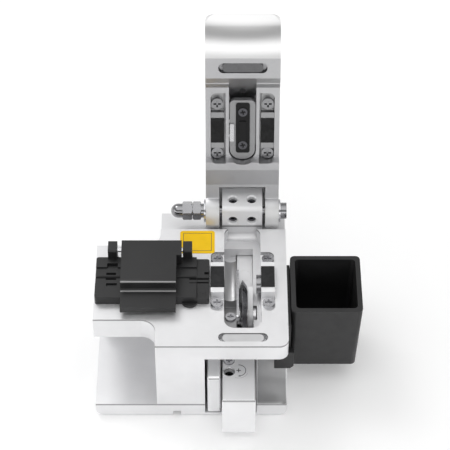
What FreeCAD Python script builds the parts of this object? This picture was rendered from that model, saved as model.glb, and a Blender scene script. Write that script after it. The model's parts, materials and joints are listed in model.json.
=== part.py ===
import FreeCAD, Part
import os
import re
import Sketcher
from FreeCAD import Placement, Rotation, Vector

# Fibre cleaver. Millimetres, +Z up, X to the right, Y to the back.
# The origin is the centre of the underside, on the surface that the cleaver stands on.

os.makedirs("parts", exist_ok=True)
doc = FreeCAD.newDocument("fibre_cleaver")
sheet = doc.addObject("Spreadsheet::Sheet", "dims")

# Driving dimensions
SIZES = {
    # main frame
    "body_width": 63.0,
    "body_depth": 63.0,
    "sole_proud": 0.4,
    "sole_thick": 1.0,
    "sole_inset": 4.0,
    "deck_top": 36.0,
    "deck_thick": 6.65,
    "base_thick": 5.7,
    "web_left": -11.2,
    "web_right": 4.56,
    "left_front": -20.4,
    "left_rear": 11.9,
    "left_thick": 8.7,
    "rear_left": -10.5,
    "plan_fillet": 5.0,
    "deck_corner": 3.0,
    "long_edge_round": 2.6,
    "left_recess_back": 1.0,
    "recess_round": 6.0,
    "bottom_notch_x": -4.7,
    "bottom_notch_width": 2.6,
    "bottom_notch_height": 2.0,
    "bottom_notch_depth": 8.0,
    # hinge
    "lid_centre": 16.93,
    "hinge_y": 25.8,
    "hinge_z": 38.3,
    "hinge_recess_front": 19.4,
    "hinge_floor": 30.9,
    "knuckle_width": 13.4,
    "knuckle_front": 4.7,
    "knuckle_back": 5.2,
    "knuckle_rise": 5.6,
    "knuckle_round": 1.45,
    "knuckle_root_round": 1.8,
    "shaft_radius": 1.5,
    "fit_clearance": 0.05,
    "set_screw_pitch": 6.3,
    "set_screw_radius": 1.45,
    "set_screw_length": 2.4,
    "screw_hole_countersink": 0.4,
    # blade slot and clamps
    "slot_width": 12.1,
    "slot_front": -23.9,
    "slot_rear": 20.2,
    "slot_round": 3.4,
    "shelf_z": 30.0,
    "shelf_front": 15.8,
    "shelf_side": 2.5,
    "clamp_y": -4.0,
    "clamp_width": 4.4,
    "clamp_pad_length": 8.8,
    "clamp_block_length": 13.1,
    "clamp_reach_front": 12.5,
    "clamp_reach_rear": 12.7,
    "clamp_pocket_margin": 0.25,
    "clamp_round": 1.9,
    "clamp_top": 38.2,
    "clamp_ledge": 34.9,
    "clamp_floor": 32.9,
    "pad_proud": 0.4,
    "pad_depth": 1.2,
    "clamp_screw_front": 9.3,
    "clamp_screw_rear": 9.8,
    "lid_screw_low": 8.6,
    "lid_screw_high": 9.4,
    "screw_head_radius": 1.95,
    "screw_head_height": 1.4,
    "screw_shank_radius": 0.9,
    "screw_shank_length": 4.0,
    "screw_cross_width": 0.6,
    "screw_cross_depth": 0.9,
    # magnets
    "magnet_y": -27.8,
    "magnet_slot_length": 15.9,
    "magnet_slot_width": 3.5,
    "magnet_slot_depth": 2.6,
    "magnet_length": 13.2,
    "magnet_width": 3.1,
    "magnet_sunk": 0.3,
    # slide and rail
    "channel_floor": 1.5,
    "channel_top": 20.3,
    "channel_rear": 19.8,
    "channel_right": 21.6,
    "bay_back": -27.4,
    "bay_rear_back": -23.5,
    "bay_rear_top": 24.6,
    "carrier_channel_rear": 26.0,
    "slide_travel": 9.0,
    "slide_left": 10.13,
    "slide_right": 21.1,
    "slide_front": -40.4,
    "slide_rear": 9.2,
    "slide_bottom": 2.35,
    "slide_top": 19.6,
    "slide_round": 0.6,
    "tool_hole_x": 12.5,
    "tool_hole_y": -28.6,
    "tool_hole_radius": 1.6,
    "tool_hole_depth": 9.0,
    "top_screw_y": -24.2,
    "bearing_left": 5.3,
    "bearing_right": 9.75,
    "bearing_rear": -5.0,
    "bearing_bottom": 1.75,
    "bearing_top": 20.0,
    "rail_reach": 2.7,
    "rail_height": 6.0,
    "rail_z": 11.0,
    "rail_front": -16.0,
    "rail_rear": 19.0,
    "rail_gap": 0.2,
    "rail_screw_pitch": 14.0,
    # blade
    "blade_radius": 12.0,
    "blade_left": 16.1,
    "blade_thick": 2.2,
    "blade_edge_x": 16.85,
    "blade_bevel": 1.9,
    "blade_bore": 2.5,
    "axle_radius": 1.9,
    "blade_top": 38.5,
    "blade_y": -11.1,
    "arm_gap": 0.25,
    "arm_thick": 1.75,
    "arm_round": 3.7,
    "arm_top_y": -4.9,
    "arm_top_z": 34.4,
    "arm_foot_rear": 0.5,
    "blade_clearance": 0.4,
    "carrier_screw_first": 2.9,
    "carrier_screw_pitch": 4.2,
    "carrier_head_depth": 1.6,
    "carrier_left": 15.2,
    "carrier_right": 20.4,
    "carrier_top": 26.5,
    "carrier_rear": 16.2,
    "axle_head_radius": 2.6,
    "axle_head_height": 0.9,
    "stop_disc_y": -3.5,
    "stop_disc_z": 34.0,
    "stop_disc_radius": 3.1,
    "stop_disc_thick": 1.5,
    "stop_gap": 0.05,
    "stop_slot_width": 0.7,
    "stop_slot_depth": 0.4,
    "stop_stem_radius": 0.9,
    "stop_stem_length": 1.6,
    # blade guard
    "guard_left_gap": 0.12,
    "guard_blade_gap": 1.18,
    "strip_thick": 0.8,
    "strip_low": 30.1,
    "strip_high": 32.6,
    "strip_front": -16.4,
    "strip_rear": 4.6,
    "guard_top": 35.0,
    "guard_floor": 26.0,
    "guard_ledge": 31.3,
    "guard_front": -20.5,
    "guard_head_depth": 4.6,
    "guard_step": -11.2,
    "guard_rear": 5.8,
    "guard_groove_radius": 3.2,
    "guard_groove_depth": 0.6,
    # lid
    "lid_lean": 17.5,
    "lid_width": 24.4,
    "ear_gap": 1.0,
    "barrel_radius": 5.8,
    "hinge_hollow": 9.8,
    "back_radius": 12.2,
    "land_n": 2.0,
    "rail_n": -0.8,
    "root_n": 1.4,
    "root_start": 10.7,
    "root_facet": 16.5,
    "root_end": 19.3,
    "rail_start": 19.9,
    "rail_end": 45.4,
    "land_start": 50.0,
    "land_end": 57.3,
    "back_bend": 44.0,
    "back_n": 9.0,
    "tip_radius": 22.4,
    "tip_start_angle": 4.5,
    "tip_end_angle": 41.0,
    "tip_thick": 3.0,
    "tip_corner": 3.4,
    "channel_width": 9.0,
    "ledge_n": 0.6,
    "ledge_low": 47.35,
    "ledge_high": 47.7,
    "lid_channel_end": 18.5,
    "lid_channel_depth": 6.0,
    "lid_channel_slope_low": 40.4,
    "lid_channel_slope_high": 50.0,
    "lid_pocket_start": 18.9,
    "lid_pocket_end": 43.4,
    "lid_pocket_depth": 4.2,
    "lid_clamp_centre": 29.85,
    "lid_pad_n": 0.45,
    "lid_ledge_n": 2.7,
    "lid_magnet_s": 53.6,
    "lid_small_hole_s": 43.1,
    "lid_small_hole_radius": 1.0,
    # anvil
    "anvil_n": 0.55,
    "anvil_plate_n": 0.95,
    "carrier_n": 1.4,
    "carrier_depth": 2.2,
    "carrier_start": 24.1,
    "carrier_end": 40.5,
    "carrier_round": 1.6,
    "anvil_width": 4.6,
    "anvil_start": 21.5,
    "anvil_end": 39.6,
    "anvil_bar_width": 2.3,
    "anvil_bar_start": 25.4,
    "anvil_bar_end": 33.2,
    "anvil_screw_low": 24.4,
    "anvil_screw_high": 36.5,
    "anvil_screw_radius": 1.5,
    "side_bar_width": 1.4,
    "side_bar_start": 25.7,
    "side_bar_end": 32.1,
    "side_bar_proud": 0.6,
    "guide_pin_radius": 1.0,
    "guide_pin_offset": 3.5,
    "anvil_travel": 1.5,
    # hinge hardware
    "bush_radius": 2.4,
    "washer_radius": 3.9,
    "washer_thick": 0.55,
    "washer_gap": 0.1,
    "bolt_head_radius": 2.75,
    "bolt_head_length": 2.1,
    "collar_radius": 2.4,
    "collar_length": 1.0,
    "nut_radius": 3.2,
    "nut_length": 2.8,
    "acorn_hex_length": 3.3,
    "acorn_dome_radius": 2.4,
    "acorn_dome_length": 1.5,
    "acorn_gap": 0.15,
    # fibre holder
    "holder_left": -31.1,
    "holder_clamp_gap": 0.42,
    "holder_front": -13.9,
    "holder_rear": 3.6,
    "holder_top": 39.4,
    "holder_end_step": 4.2,
    "holder_end_top": 38.4,
    "holder_channel_rear": -0.8,
    "holder_channel_front": -7.8,
    "holder_channel_depth": 0.5,
    "groove_width": 1.2,
    "groove_depth": 0.8,
    "lug_width": 3.0,
    "lug_top": 43.1,
    "lug_chamfer": 0.5,
    "lug_left_x": -25.8,
    "lug_right_x": -1.17,
    "pin_y": 5.1,
    "pin_z": 41.3,
    "lug_radius": 2.25,
    "pin_radius": 0.8,
    "flap_left": -22.7,
    "flap_right": -4.7,
    "flap_root_right": -3.1,
    "flap_root_left": -22.8,
    "flap_root_front": 0.5,
    "flap_front": -11.2,
    "flap_top": 43.9,
    "flap_gap": 0.2,
    "flap_round": 0.8,
    "tab_front": -18.8,
    "tab_top": 40.0,
    "tab_bottom": 37.6,
    "disc_x": -0.3,
    "disc_y": -12.8,
    "disc_radius": 2.75,
    "disc_height": 1.0,
    # sticker
    "sticker_left": -3.87,
    "sticker_width": 11.6,
    "sticker_front": 8.35,
    "sticker_depth": 10.15,
    "sticker_thick": 0.1,
    # scrap bin
    "bin_gap": 1.15,
    "bin_width": 23.2,
    "bin_front": -17.2,
    "bin_depth": 24.4,
    "bin_bottom": 9.3,
    "bin_top": 36.0,
    "bin_wall": 1.6,
    "bin_draft": 1.3,
    "bin_round": 1.6,
    "bracket_gap": 0.1,
    "bracket_rear": 3.2,
    "bracket_bottom": 7.8,
    "bracket_top": 32.0,
    "bracket_shelf_reach": 3.4,
    "foot_left": 4.2,
    "foot_right": 2.2,
    "foot_front": -23.2,
    "foot_rear": -21.1,
    "foot_bottom": 16.2,
    "foot_top": 22.5,
    "foot_chamfer": 1.2,
}

for row, (alias, number) in enumerate(SIZES.items(), start=1):
    sheet.set("A%d" % row, alias)
    sheet.set("B%d" % row, str(number))
    sheet.setAlias("B%d" % row, alias)
doc.recompute()

WORD = re.compile(r"[a-z_]+")


def bound(text):
    """Expression text with each sheet alias written in full."""
    return WORD.sub(lambda m: "dims." + m.group(0) if m.group(0) in SIZES else m.group(0), text)


def bind(thing, prop, text):
    thing.setExpression(prop, bound(str(text)))


parts = {}


def keep(node, thing):
    """Make an object the sub-part NODE."""
    thing.Label = node
    parts[node] = thing
    return thing


# Solids from primitives

def box(name, x, y, z):
    """Box between bound low and high X, Y and Z."""
    solid = doc.addObject("Part::Box", name)
    for prop, axis, (low, high) in (("Length", "x", x), ("Width", "y", y), ("Height", "z", z)):
        bind(solid, prop, "(%s) - (%s)" % (high, low))
        bind(solid, "Placement.Base." + axis, low)
    return solid


TURNS = {
    "x": Rotation(Vector(0, 1, 0), 90),
    "y": Rotation(Vector(1, 0, 0), -90),
    "z": Rotation(),
}
CROSS_AXES = {"x": ("y", "z"), "y": ("x", "z"), "z": ("x", "y")}


def lay_along(solid, axis, start, centre):
    """Place a solid whose own axis is Z so that it runs along an axis."""
    solid.Placement = Placement(Vector(), TURNS[axis])
    bind(solid, "Placement.Base." + axis, start)
    for cross, where in zip(CROSS_AXES[axis], centre):
        bind(solid, "Placement.Base." + cross, where)


def rod(name, axis, span, centre, radius):
    solid = doc.addObject("Part::Cylinder", name)
    bind(solid, "Radius", radius)
    bind(solid, "Height", "(%s) - (%s)" % (span[1], span[0]))
    lay_along(solid, axis, span[0], centre)
    return solid


def cone(name, axis, span, centre, radius_low, radius_high):
    solid = doc.addObject("Part::Cone", name)
    bind(solid, "Radius1", radius_low)
    bind(solid, "Radius2", radius_high)
    bind(solid, "Height", "(%s) - (%s)" % (span[1], span[0]))
    lay_along(solid, axis, span[0], centre)
    return solid


def hexagon(name, axis, span, centre, radius):
    solid = doc.addObject("Part::Prism", name)
    solid.Polygon = 6
    bind(solid, "Circumradius", radius)
    bind(solid, "Height", "(%s) - (%s)" % (span[1], span[0]))
    lay_along(solid, axis, span[0], centre)
    return solid


def fuse(name, *pieces):
    joined = doc.addObject("Part::MultiFuse", name)
    joined.Shapes = list(pieces)
    joined.Refine = True
    return joined


def cut(name, base, *tools):
    tool = tools[0] if len(tools) == 1 else fuse(name + "_tools", *tools)
    result = doc.addObject("Part::Cut", name)
    result.Base = base
    result.Tool = tool
    result.Refine = True
    return result


def group(name, *pieces):
    """Several separate solids under one name."""
    compound = doc.addObject("Part::Compound", name)
    compound.Links = list(pieces)
    return compound


def mirrored(name, source):
    """Copy of a piece on the other side of the lid's centre plane."""
    twin = doc.addObject("Part::Mirroring", name)
    twin.Source = source
    twin.Normal = Vector(1, 0, 0)
    bind(twin, "Base.x", "lid_centre")
    return twin


# Solids from sketches

def plane_of(body, role):
    return next(item for item in body.Origin.OriginFeatures if item.Role == role)


def sketch_outline(body, name, plane, outline, offset):
    """Closed outline on a plane of the body, every corner placed by the sheet.

    An item is (x, y) for a straight side to that corner, or (x, y, radius, centre_x,
    centre_y, turn) for an arc to it, with turn 1 anticlockwise and -1 clockwise.
    """
    sketch = body.newObject("Sketcher::SketchObject", name)
    sketch.AttachmentSupport = (plane_of(body, plane), [""])
    sketch.MapMode = "FlatFace"
    bind(sketch, "AttachmentOffset.Base.z", offset)
    corners = [Vector(number(item[0]), number(item[1]), 0) for item in outline]
    for index, item in enumerate(outline):
        start, end = corners[index - 1], corners[index]
        if len(item) == 2:
            sketch.addGeometry(Part.LineSegment(start, end), False)
            continue
        radius, centre = number(item[2]), Vector(number(item[3]), number(item[4]), 0)
        first, last = (start, end) if item[5] > 0 else (end, start)
        circle = Part.Circle(centre, Vector(0, 0, 1), radius)
        arc = Part.ArcOfCircle(circle, circle.parameter(first), circle.parameter(last))
        sketch.addGeometry(arc, False)
    count = len(outline)
    for index, item in enumerate(outline):
        after = (index + 1) % count
        end_point = 2 if len(item) == 2 or item[5] > 0 else 1
        follower = outline[after]
        start_point = 1 if len(follower) == 2 or follower[5] > 0 else 2
        sketch.addConstraint(Sketcher.Constraint("Coincident", index, end_point, after, start_point))
    for index, item in enumerate(outline):
        end_point = 2 if len(item) == 2 or item[5] > 0 else 1
        for kind, text in (("DistanceX", item[0]), ("DistanceY", item[1])):
            place = sketch.addConstraint(
                Sketcher.Constraint(kind, -1, 1, index, end_point, number(text)))
            bind(sketch, "Constraints[%d]" % place, text)
        if len(item) > 2:
            place = sketch.addConstraint(Sketcher.Constraint("Radius", index, number(item[2])))
            bind(sketch, "Constraints[%d]" % place, item[2])
    return sketch


def number(text):
    """Value of a bound expression now."""
    probe.setExpression("Reading", bound(str(text)))
    probe.recompute()
    return float(probe.Reading)


probe = doc.addObject("App::FeaturePython", "probe")
probe.addProperty("App::PropertyFloat", "Reading")


def prism(name, plane, outline, span):
    """Pad of an outline between two levels along the plane's normal axis."""
    body = doc.addObject("PartDesign::Body", name)
    offset = "-(%s)" % span[1] if plane == "XZ_Plane" else span[0]
    sketch = sketch_outline(body, name + "_sketch", plane, outline, offset)
    pad = body.newObject("PartDesign::Pad", name + "_pad")
    pad.Profile = sketch
    bind(pad, "Length", "(%s) - (%s)" % (span[1], span[0]))
    sketch.Visibility = False
    return body


def turned(name, axis_name, outline, place):
    """Revolved profile. The outline is radius, height; the result stands along Z."""
    body = doc.addObject("PartDesign::Body", name)
    sketch = sketch_outline(body, name + "_sketch", "XZ_Plane", outline, "0")
    turn = body.newObject("PartDesign::Revolution", name + "_turn")
    turn.Profile = sketch
    turn.ReferenceAxis = (sketch, ["V_Axis"])
    turn.Angle = 360
    lay_along(body, axis_name, place[0], place[1:])
    return body


def rect(x, y, radii=(None, None, None, None)):
    """Rectangle with optional corner radii: lower left, lower right, upper right, upper left."""
    (x0, x1), (y0, y1) = x, y
    turns = (
        (x0, y0, (0, 1), (1, 0), (1, 1)),
        (x1, y0, (-1, 0), (0, 1), (-1, 1)),
        (x1, y1, (0, -1), (-1, 0), (-1, -1)),
        (x0, y1, (1, 0), (0, -1), (1, -1)),
    )
    outline = []
    for (cx, cy, before, after, centre), radius in zip(turns, radii):
        if radius is None:
            outline.append((cx, cy))
            continue
        spot = [shifted(cx, way[0], radius) + "|" + shifted(cy, way[1], radius)
                for way in (before, after, centre)]
        first, last, mid = [item.split("|") for item in spot]
        outline.append((first[0], first[1]))
        outline.append((last[0], last[1], radius, mid[0], mid[1], 1))
    return outline


def shifted(text, way, amount):
    if way == 0:
        return "(%s)" % text
    return "(%s) %s (%s)" % (text, "+" if way > 0 else "-", amount)


def around(centre, width):
    """Low and high text of a span about a centre."""
    return ("(%s) - (%s) / 2" % (centre, width), "(%s) + (%s) / 2" % (centre, width))


def span_of(axis, along, first, second):
    """X, Y and Z spans, with the first one running along the axis."""
    order = {"x": (along, first, second), "y": (first, along, second), "z": (first, second, along)}
    return order[axis]


def screw(name, axis, seat, centre, out, head="screw_head_radius", cross="screw_cross_width"):
    """Round-headed screw with a cross recess. out is 1 or -1 along the axis."""
    if out > 0:
        tip = "(%s) + screw_head_height" % seat
        head_span, shank_span = (seat, tip), ("(%s) - screw_shank_length" % seat, seat)
        slot_span = ("(%s) - screw_cross_depth" % tip, "(%s) + 1" % tip)
    else:
        tip = "(%s) - screw_head_height" % seat
        head_span, shank_span = (tip, seat), (seat, "(%s) + screw_shank_length" % seat)
        slot_span = ("(%s) - 1" % tip, "(%s) + screw_cross_depth" % tip)
    top = rod(name + "_head", axis, head_span, centre, head)
    shank = rod(name + "_shank", axis, shank_span, centre, "screw_shank_radius")
    long_arm = "(%s) * 1.25" % head
    slots = []
    for number_of, (wide, deep) in enumerate(((long_arm, cross), (cross, long_arm))):
        spans = span_of(axis, slot_span, around(centre[0], wide), around(centre[1], deep))
        slots.append(box("%s_slot%d" % (name, number_of), *spans))
    return cut(name, fuse(name + "_body", top, shank), *slots)


HALF = "body_width / 2"
REAR = "body_depth / 2"
FRONT = "-body_depth / 2"
SOLE = "sole_proud"
BASE_TOP = "sole_proud + base_thick"
MAIN_UNDER = "deck_top - deck_thick"
LEFT_UNDER = "deck_top - left_thick"
SLOT_LEFT = "lid_centre - slot_width / 2"
SLOT_RIGHT = "lid_centre + slot_width / 2"
CLAMP_LEFT = "lid_centre - slot_width / 2 - clamp_width"
KNUCKLE_X = around("lid_centre", "knuckle_width")
KNUCKLE_TOP = "hinge_z + knuckle_rise"
KNUCKLE_FRONT = "hinge_y - knuckle_front"
GUARD_X = ("lid_centre - slot_width / 2 + guard_left_gap", "blade_left - guard_blade_gap")
GUARD_MIDDLE = "(lid_centre - slot_width / 2 + guard_left_gap + blade_left - guard_blade_gap) / 2"
GUARD_SCREW = (GUARD_MIDDLE, "guard_front + 4.8")
AXLE = ("blade_y", "blade_top - blade_radius")
HOLDER_RIGHT = "lid_centre - slot_width / 2 - clamp_width - holder_clamp_gap"
BIN_LEFT = "body_width / 2 + bin_gap"


# Main frame

def frame_block():
    outline = rect(("-" + HALF, HALF), (SOLE, "deck_top"), ("long_edge_round", "long_edge_round", None, None))
    return prism("frame_block", "XZ_Plane", outline, (FRONT, REAR))


def frame_plan_cuts():
    """Stepped outline of the deck, above the base plate."""
    span = (BASE_TOP, "deck_top + 1")
    front_left = prism("cut_front_left", "XY_Plane", rect(
        ("-%s - 1" % HALF, "web_left"), (FRONT + " - 1", "left_front"),
        (None, None, "plan_fillet", None)), span)
    rear_left = prism("cut_rear_left", "XY_Plane", rect(
        ("-%s - 1" % HALF, "rear_left"), ("left_rear", REAR + " + 1"),
        (None, "plan_fillet", None, None)), span)
    return [front_left, rear_left]


def frame_left_recess():
    outline = rect(("-%s - 1" % HALF, "web_left"), (FRONT + " - 1", "left_recess_back"),
                   (None, None, "recess_round", None))
    return prism("cut_left_recess", "XY_Plane", outline, (BASE_TOP, LEFT_UNDER))


def frame_right_opening():
    """Bay above the slide block and the round finger scoop beside it."""
    bay = box("cut_bay", ("web_right", "channel_right"), (FRONT + " - 1", "bay_back"),
              (BASE_TOP, MAIN_UNDER))
    bay_rear = box("cut_bay_rear", ("web_right", "channel_right"), ("bay_back - 1", "bay_rear_back"),
                   (BASE_TOP, "bay_rear_top"))
    half_height = "(deck_top - deck_thick - sole_proud - base_thick) / 2"
    scoop = rod("cut_scoop", "x", ("channel_right - 0.6", HALF + " + 1"),
                (FRONT, "sole_proud + base_thick + " + half_height), half_height)
    return [bay, bay_rear, scoop]


def frame_channels():
    """Channel of the slide block and bearing, and the upper one of the blade carrier."""
    lower = box("cut_channel", ("web_right", "channel_right"), (FRONT + " - 1", "channel_rear"),
                ("channel_floor", "channel_top"))
    upper = box("cut_carrier", ("carrier_left - 0.35", "channel_right"),
                ("slot_front", "carrier_channel_rear"), ("channel_top - 1", "carrier_top + 0.4"))
    return [lower, upper]


def frame_slot():
    """Slot for the blade, with a shelf at its rear end and a floor under the guard."""
    x = (SLOT_LEFT, SLOT_RIGHT)
    top = prism("cut_slot_top", "XY_Plane", rect(
        x, ("slot_front", "slot_rear"), ("slot_round",) * 4), ("shelf_z", "deck_top + 1"))
    inner = (SLOT_LEFT, SLOT_RIGHT + " - shelf_side")
    middle = prism("cut_slot_middle", "XY_Plane", rect(
        inner, ("slot_front", "shelf_front"), ("slot_round", "slot_round / 2", None, None)),
        ("guard_floor", "deck_top"))
    hub_room = box("cut_slot_hub", (SLOT_RIGHT + " - shelf_side - 1", "channel_right"),
                   ("blade_y - arm_round - 0.6", "blade_y + arm_round + slide_travel + 0.6"),
                   ("channel_top", "shelf_z + 1"))
    lower = box("cut_slot_lower", ("carrier_left - 0.35", "channel_right"),
                ("slot_front + 0.4", "shelf_front"), ("channel_top - 1", "guard_floor + 1"))
    return [top, middle, hub_room, lower]


def frame_clamp_pockets():
    y = ("clamp_y - clamp_reach_front - clamp_pocket_margin",
         "clamp_y + clamp_reach_rear + clamp_pocket_margin")
    z = ("clamp_floor", "deck_top + 1")
    left = prism("cut_clamp_left", "XY_Plane", rect(
        (CLAMP_LEFT + " - 0.05", SLOT_LEFT + " + 0.5"), y, ("clamp_round", None, None, "clamp_round")), z)
    return [left, mirrored("cut_clamp_right", left)]


def clamp_screw_spots(left="lid_centre - slot_width / 2 - clamp_width / 2 - 0.1",
                      right="lid_centre + slot_width / 2 + clamp_width / 2 + 0.1"):
    return [(x, y) for x in (left, right)
            for y in ("clamp_y - clamp_screw_front", "clamp_y + clamp_screw_rear")]


def frame_screw_bores():
    bores = []
    for index, (x, y) in enumerate(clamp_screw_spots()):
        bores.append(rod("bore_clamp%d" % index, "z",
                         ("clamp_ledge - screw_shank_length - 0.3", "clamp_floor + 1"), (x, y),
                         "screw_shank_radius + fit_clearance"))
    return bores


def frame_hinge_recess():
    """Low rear shelf with the knuckle standing on it."""
    whole = box("cut_hinge", ("rear_left - 1", HALF + " + 1"), ("hinge_recess_front", REAR + " + 1"),
                ("hinge_floor", "deck_top + 1"))
    return whole


def knuckle():
    outline = [
        ("hinge_y + knuckle_back", "hinge_floor - 1"),
        ("hinge_y + knuckle_back", KNUCKLE_TOP),
        (KNUCKLE_FRONT + " + knuckle_round", KNUCKLE_TOP),
        (KNUCKLE_FRONT, KNUCKLE_TOP + " - knuckle_round", "knuckle_round",
         KNUCKLE_FRONT + " + knuckle_round", KNUCKLE_TOP + " - knuckle_round", 1),
        (KNUCKLE_FRONT, "hinge_floor + knuckle_root_round"),
        (KNUCKLE_FRONT + " - knuckle_root_round", "hinge_floor", "knuckle_root_round",
         KNUCKLE_FRONT + " - knuckle_root_round", "hinge_floor + knuckle_root_round", -1),
        (KNUCKLE_FRONT + " - knuckle_root_round", "hinge_floor - 1"),
    ]
    return prism("knuckle_block", "YZ_Plane", outline, KNUCKLE_X)


def knuckle_bores():
    shaft = rod("bore_shaft", "x", ("lid_centre - knuckle_width", "lid_centre + knuckle_width"),
                ("hinge_y", "hinge_z"), "shaft_radius + 0.01")
    bores = [shaft]
    for index, way in enumerate((-1, 1)):
        x = "lid_centre + %d * set_screw_pitch / 2" % way
        bores.append(rod("bore_top%d" % index, "z", ("hinge_z", KNUCKLE_TOP + " + 1"), (x, "hinge_y"),
                         "set_screw_radius + 0.05"))
        bores.append(rod("bore_front%d" % index, "y", (KNUCKLE_FRONT + " - 1", "hinge_y"),
                         (x, "hinge_z"), "set_screw_radius + 0.05"))
        bores.append(cone("sink_top%d" % index, "z",
                          (KNUCKLE_TOP + " - screw_hole_countersink", KNUCKLE_TOP + " + 0.01"),
                          (x, "hinge_y"), "set_screw_radius + 0.05",
                          "set_screw_radius + 0.05 + screw_hole_countersink"))
        bores.append(cone("sink_front%d" % index, "y",
                          (KNUCKLE_FRONT + " - 0.01", KNUCKLE_FRONT + " + screw_hole_countersink"),
                          (x, "hinge_z"), "set_screw_radius + 0.05 + screw_hole_countersink",
                          "set_screw_radius + 0.05"))
    return bores


def frame_small_cuts():
    magnet = prism("cut_magnet", "XY_Plane", rect(
        around("lid_centre", "magnet_slot_length"), around("magnet_y", "magnet_slot_width"),
        ("magnet_slot_width * 0.47",) * 4), ("deck_top - magnet_slot_depth", "deck_top + 1"))
    notch = box("cut_bottom_notch", around("bottom_notch_x", "bottom_notch_width"),
                (FRONT + " - 1", FRONT + " + bottom_notch_depth"),
                ("sole_proud - 1", "sole_proud + bottom_notch_height"))
    sole = box("cut_sole", ("-%s + sole_inset" % HALF, HALF + " - sole_inset"),
               (FRONT + " + sole_inset + 6", REAR + " - sole_inset"),
               (SOLE + " - 1", "sole_thick"))
    rail = box("cut_rail_seat", ("web_right - 0.6", "web_right + 1"), ("rail_front", "rail_rear"),
               around("rail_z", "rail_height"))
    return [magnet, notch, sole, rail]


def rail_screw_spots():
    middle = "(rail_front + rail_rear) / 2"
    return [("%s + %d * rail_screw_pitch" % (middle, way), "rail_z") for way in (-1, 0, 1)]


def frame_corner_cut():
    """Round of the front right deck corner."""
    square = box("corner_square", (HALF + " - deck_corner", HALF + " + 1"),
                 (FRONT + " - 1", FRONT + " + deck_corner"), (BASE_TOP, "deck_top + 1"))
    round_part = rod("corner_round", "z", (BASE_TOP + " - 1", "deck_top + 2"),
                     (HALF + " - deck_corner", FRONT + " + deck_corner"), "deck_corner")
    return cut("cut_corner", square, round_part)


def build_frame():
    tools = frame_plan_cuts() + [frame_left_recess()] + frame_right_opening()
    tools += frame_channels() + frame_slot() + frame_clamp_pockets() + [frame_hinge_recess()]
    tools += [frame_corner_cut()]
    hollowed = cut("frame_hollowed", frame_block(), *tools)
    whole = fuse("frame_whole", hollowed, knuckle())
    small = frame_small_cuts() + knuckle_bores() + frame_screw_bores()
    for index, spot in enumerate(rail_screw_spots()):
        small.append(rod("bore_rail%d" % index, "x", ("web_right - 0.6 - screw_shank_length", "web_right"),
                         spot, "screw_shank_radius + fit_clearance"))
    keep("base_frame", cut("base_frame_solid", whole, *small))


def build_sole():
    keep("base_pad", box("base_pad_solid", ("-%s + sole_inset + 0.1" % HALF, HALF + " - sole_inset - 0.1"),
                         (FRONT + " + sole_inset + 6.1", REAR + " - sole_inset - 0.1"), ("0", "sole_thick")))


def magnet_bar(name, y, z):
    return prism(name, "XY_Plane", rect(around("0", "magnet_length"), y,
                                        ("magnet_width * 0.45",) * 4), z)


def build_deck_magnet():
    bar = magnet_bar("deck_magnet_bar", around("magnet_y", "magnet_width"),
                     ("deck_top - magnet_slot_depth", "deck_top - magnet_sunk"))
    bind(bar, "Placement.Base.x", "lid_centre")
    keep("deck_magnet", bar)


def build_lower_clamps():
    x = (CLAMP_LEFT, SLOT_LEFT)
    low = prism("seat_low", "XY_Plane", rect(
        x, ("clamp_y - clamp_reach_front", "clamp_y + clamp_reach_rear"),
        ("clamp_round", None, None, "clamp_round")), ("clamp_floor", "clamp_ledge"))
    high = box("seat_high", x, around("clamp_y", "clamp_block_length"), ("clamp_floor", "clamp_top"))
    notch = box("seat_notch", (CLAMP_LEFT + " - 1", SLOT_LEFT + " + 1"),
                around("clamp_y", "clamp_pad_length"),
                ("clamp_top + pad_proud - pad_depth", "clamp_top + 1"))
    holes = [rod("seat_hole%d" % index, "z", ("clamp_floor - 1", "clamp_ledge + 1"), spot,
                 "screw_shank_radius + fit_clearance")
             for index, spot in enumerate(clamp_screw_spots()[:2])]
    left = cut("seat_left", fuse("seat_whole", low, high), notch, *holes)
    keep("clamp_seat_lower_left", left)
    stem_hole = rod("seat_stem_hole", "x", (SLOT_RIGHT + " - 1", SLOT_RIGHT + " + stop_stem_length + 0.1"),
                    ("stop_disc_y", "stop_disc_z"), "stop_stem_radius + fit_clearance")
    keep("clamp_seat_lower_right", cut("seat_right", mirrored("seat_right_blank", left), stem_hole))
    pad = box("pad_left", x, around("clamp_y", "clamp_pad_length"),
              ("clamp_top + pad_proud - pad_depth", "clamp_top + pad_proud"))
    keep("clamp_pad_lower_left", pad)
    keep("clamp_pad_lower_right", mirrored("pad_right", pad))
    screws = [screw("clamp_screw%d" % index, "z", "clamp_ledge", spot, 1)
              for index, spot in enumerate(clamp_screw_spots())]
    keep("clamp_screws_lower", group("clamp_screws_low", *screws))


# Slide, bearing and rail

RAIL_RIGHT = "web_right + rail_reach"


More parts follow.
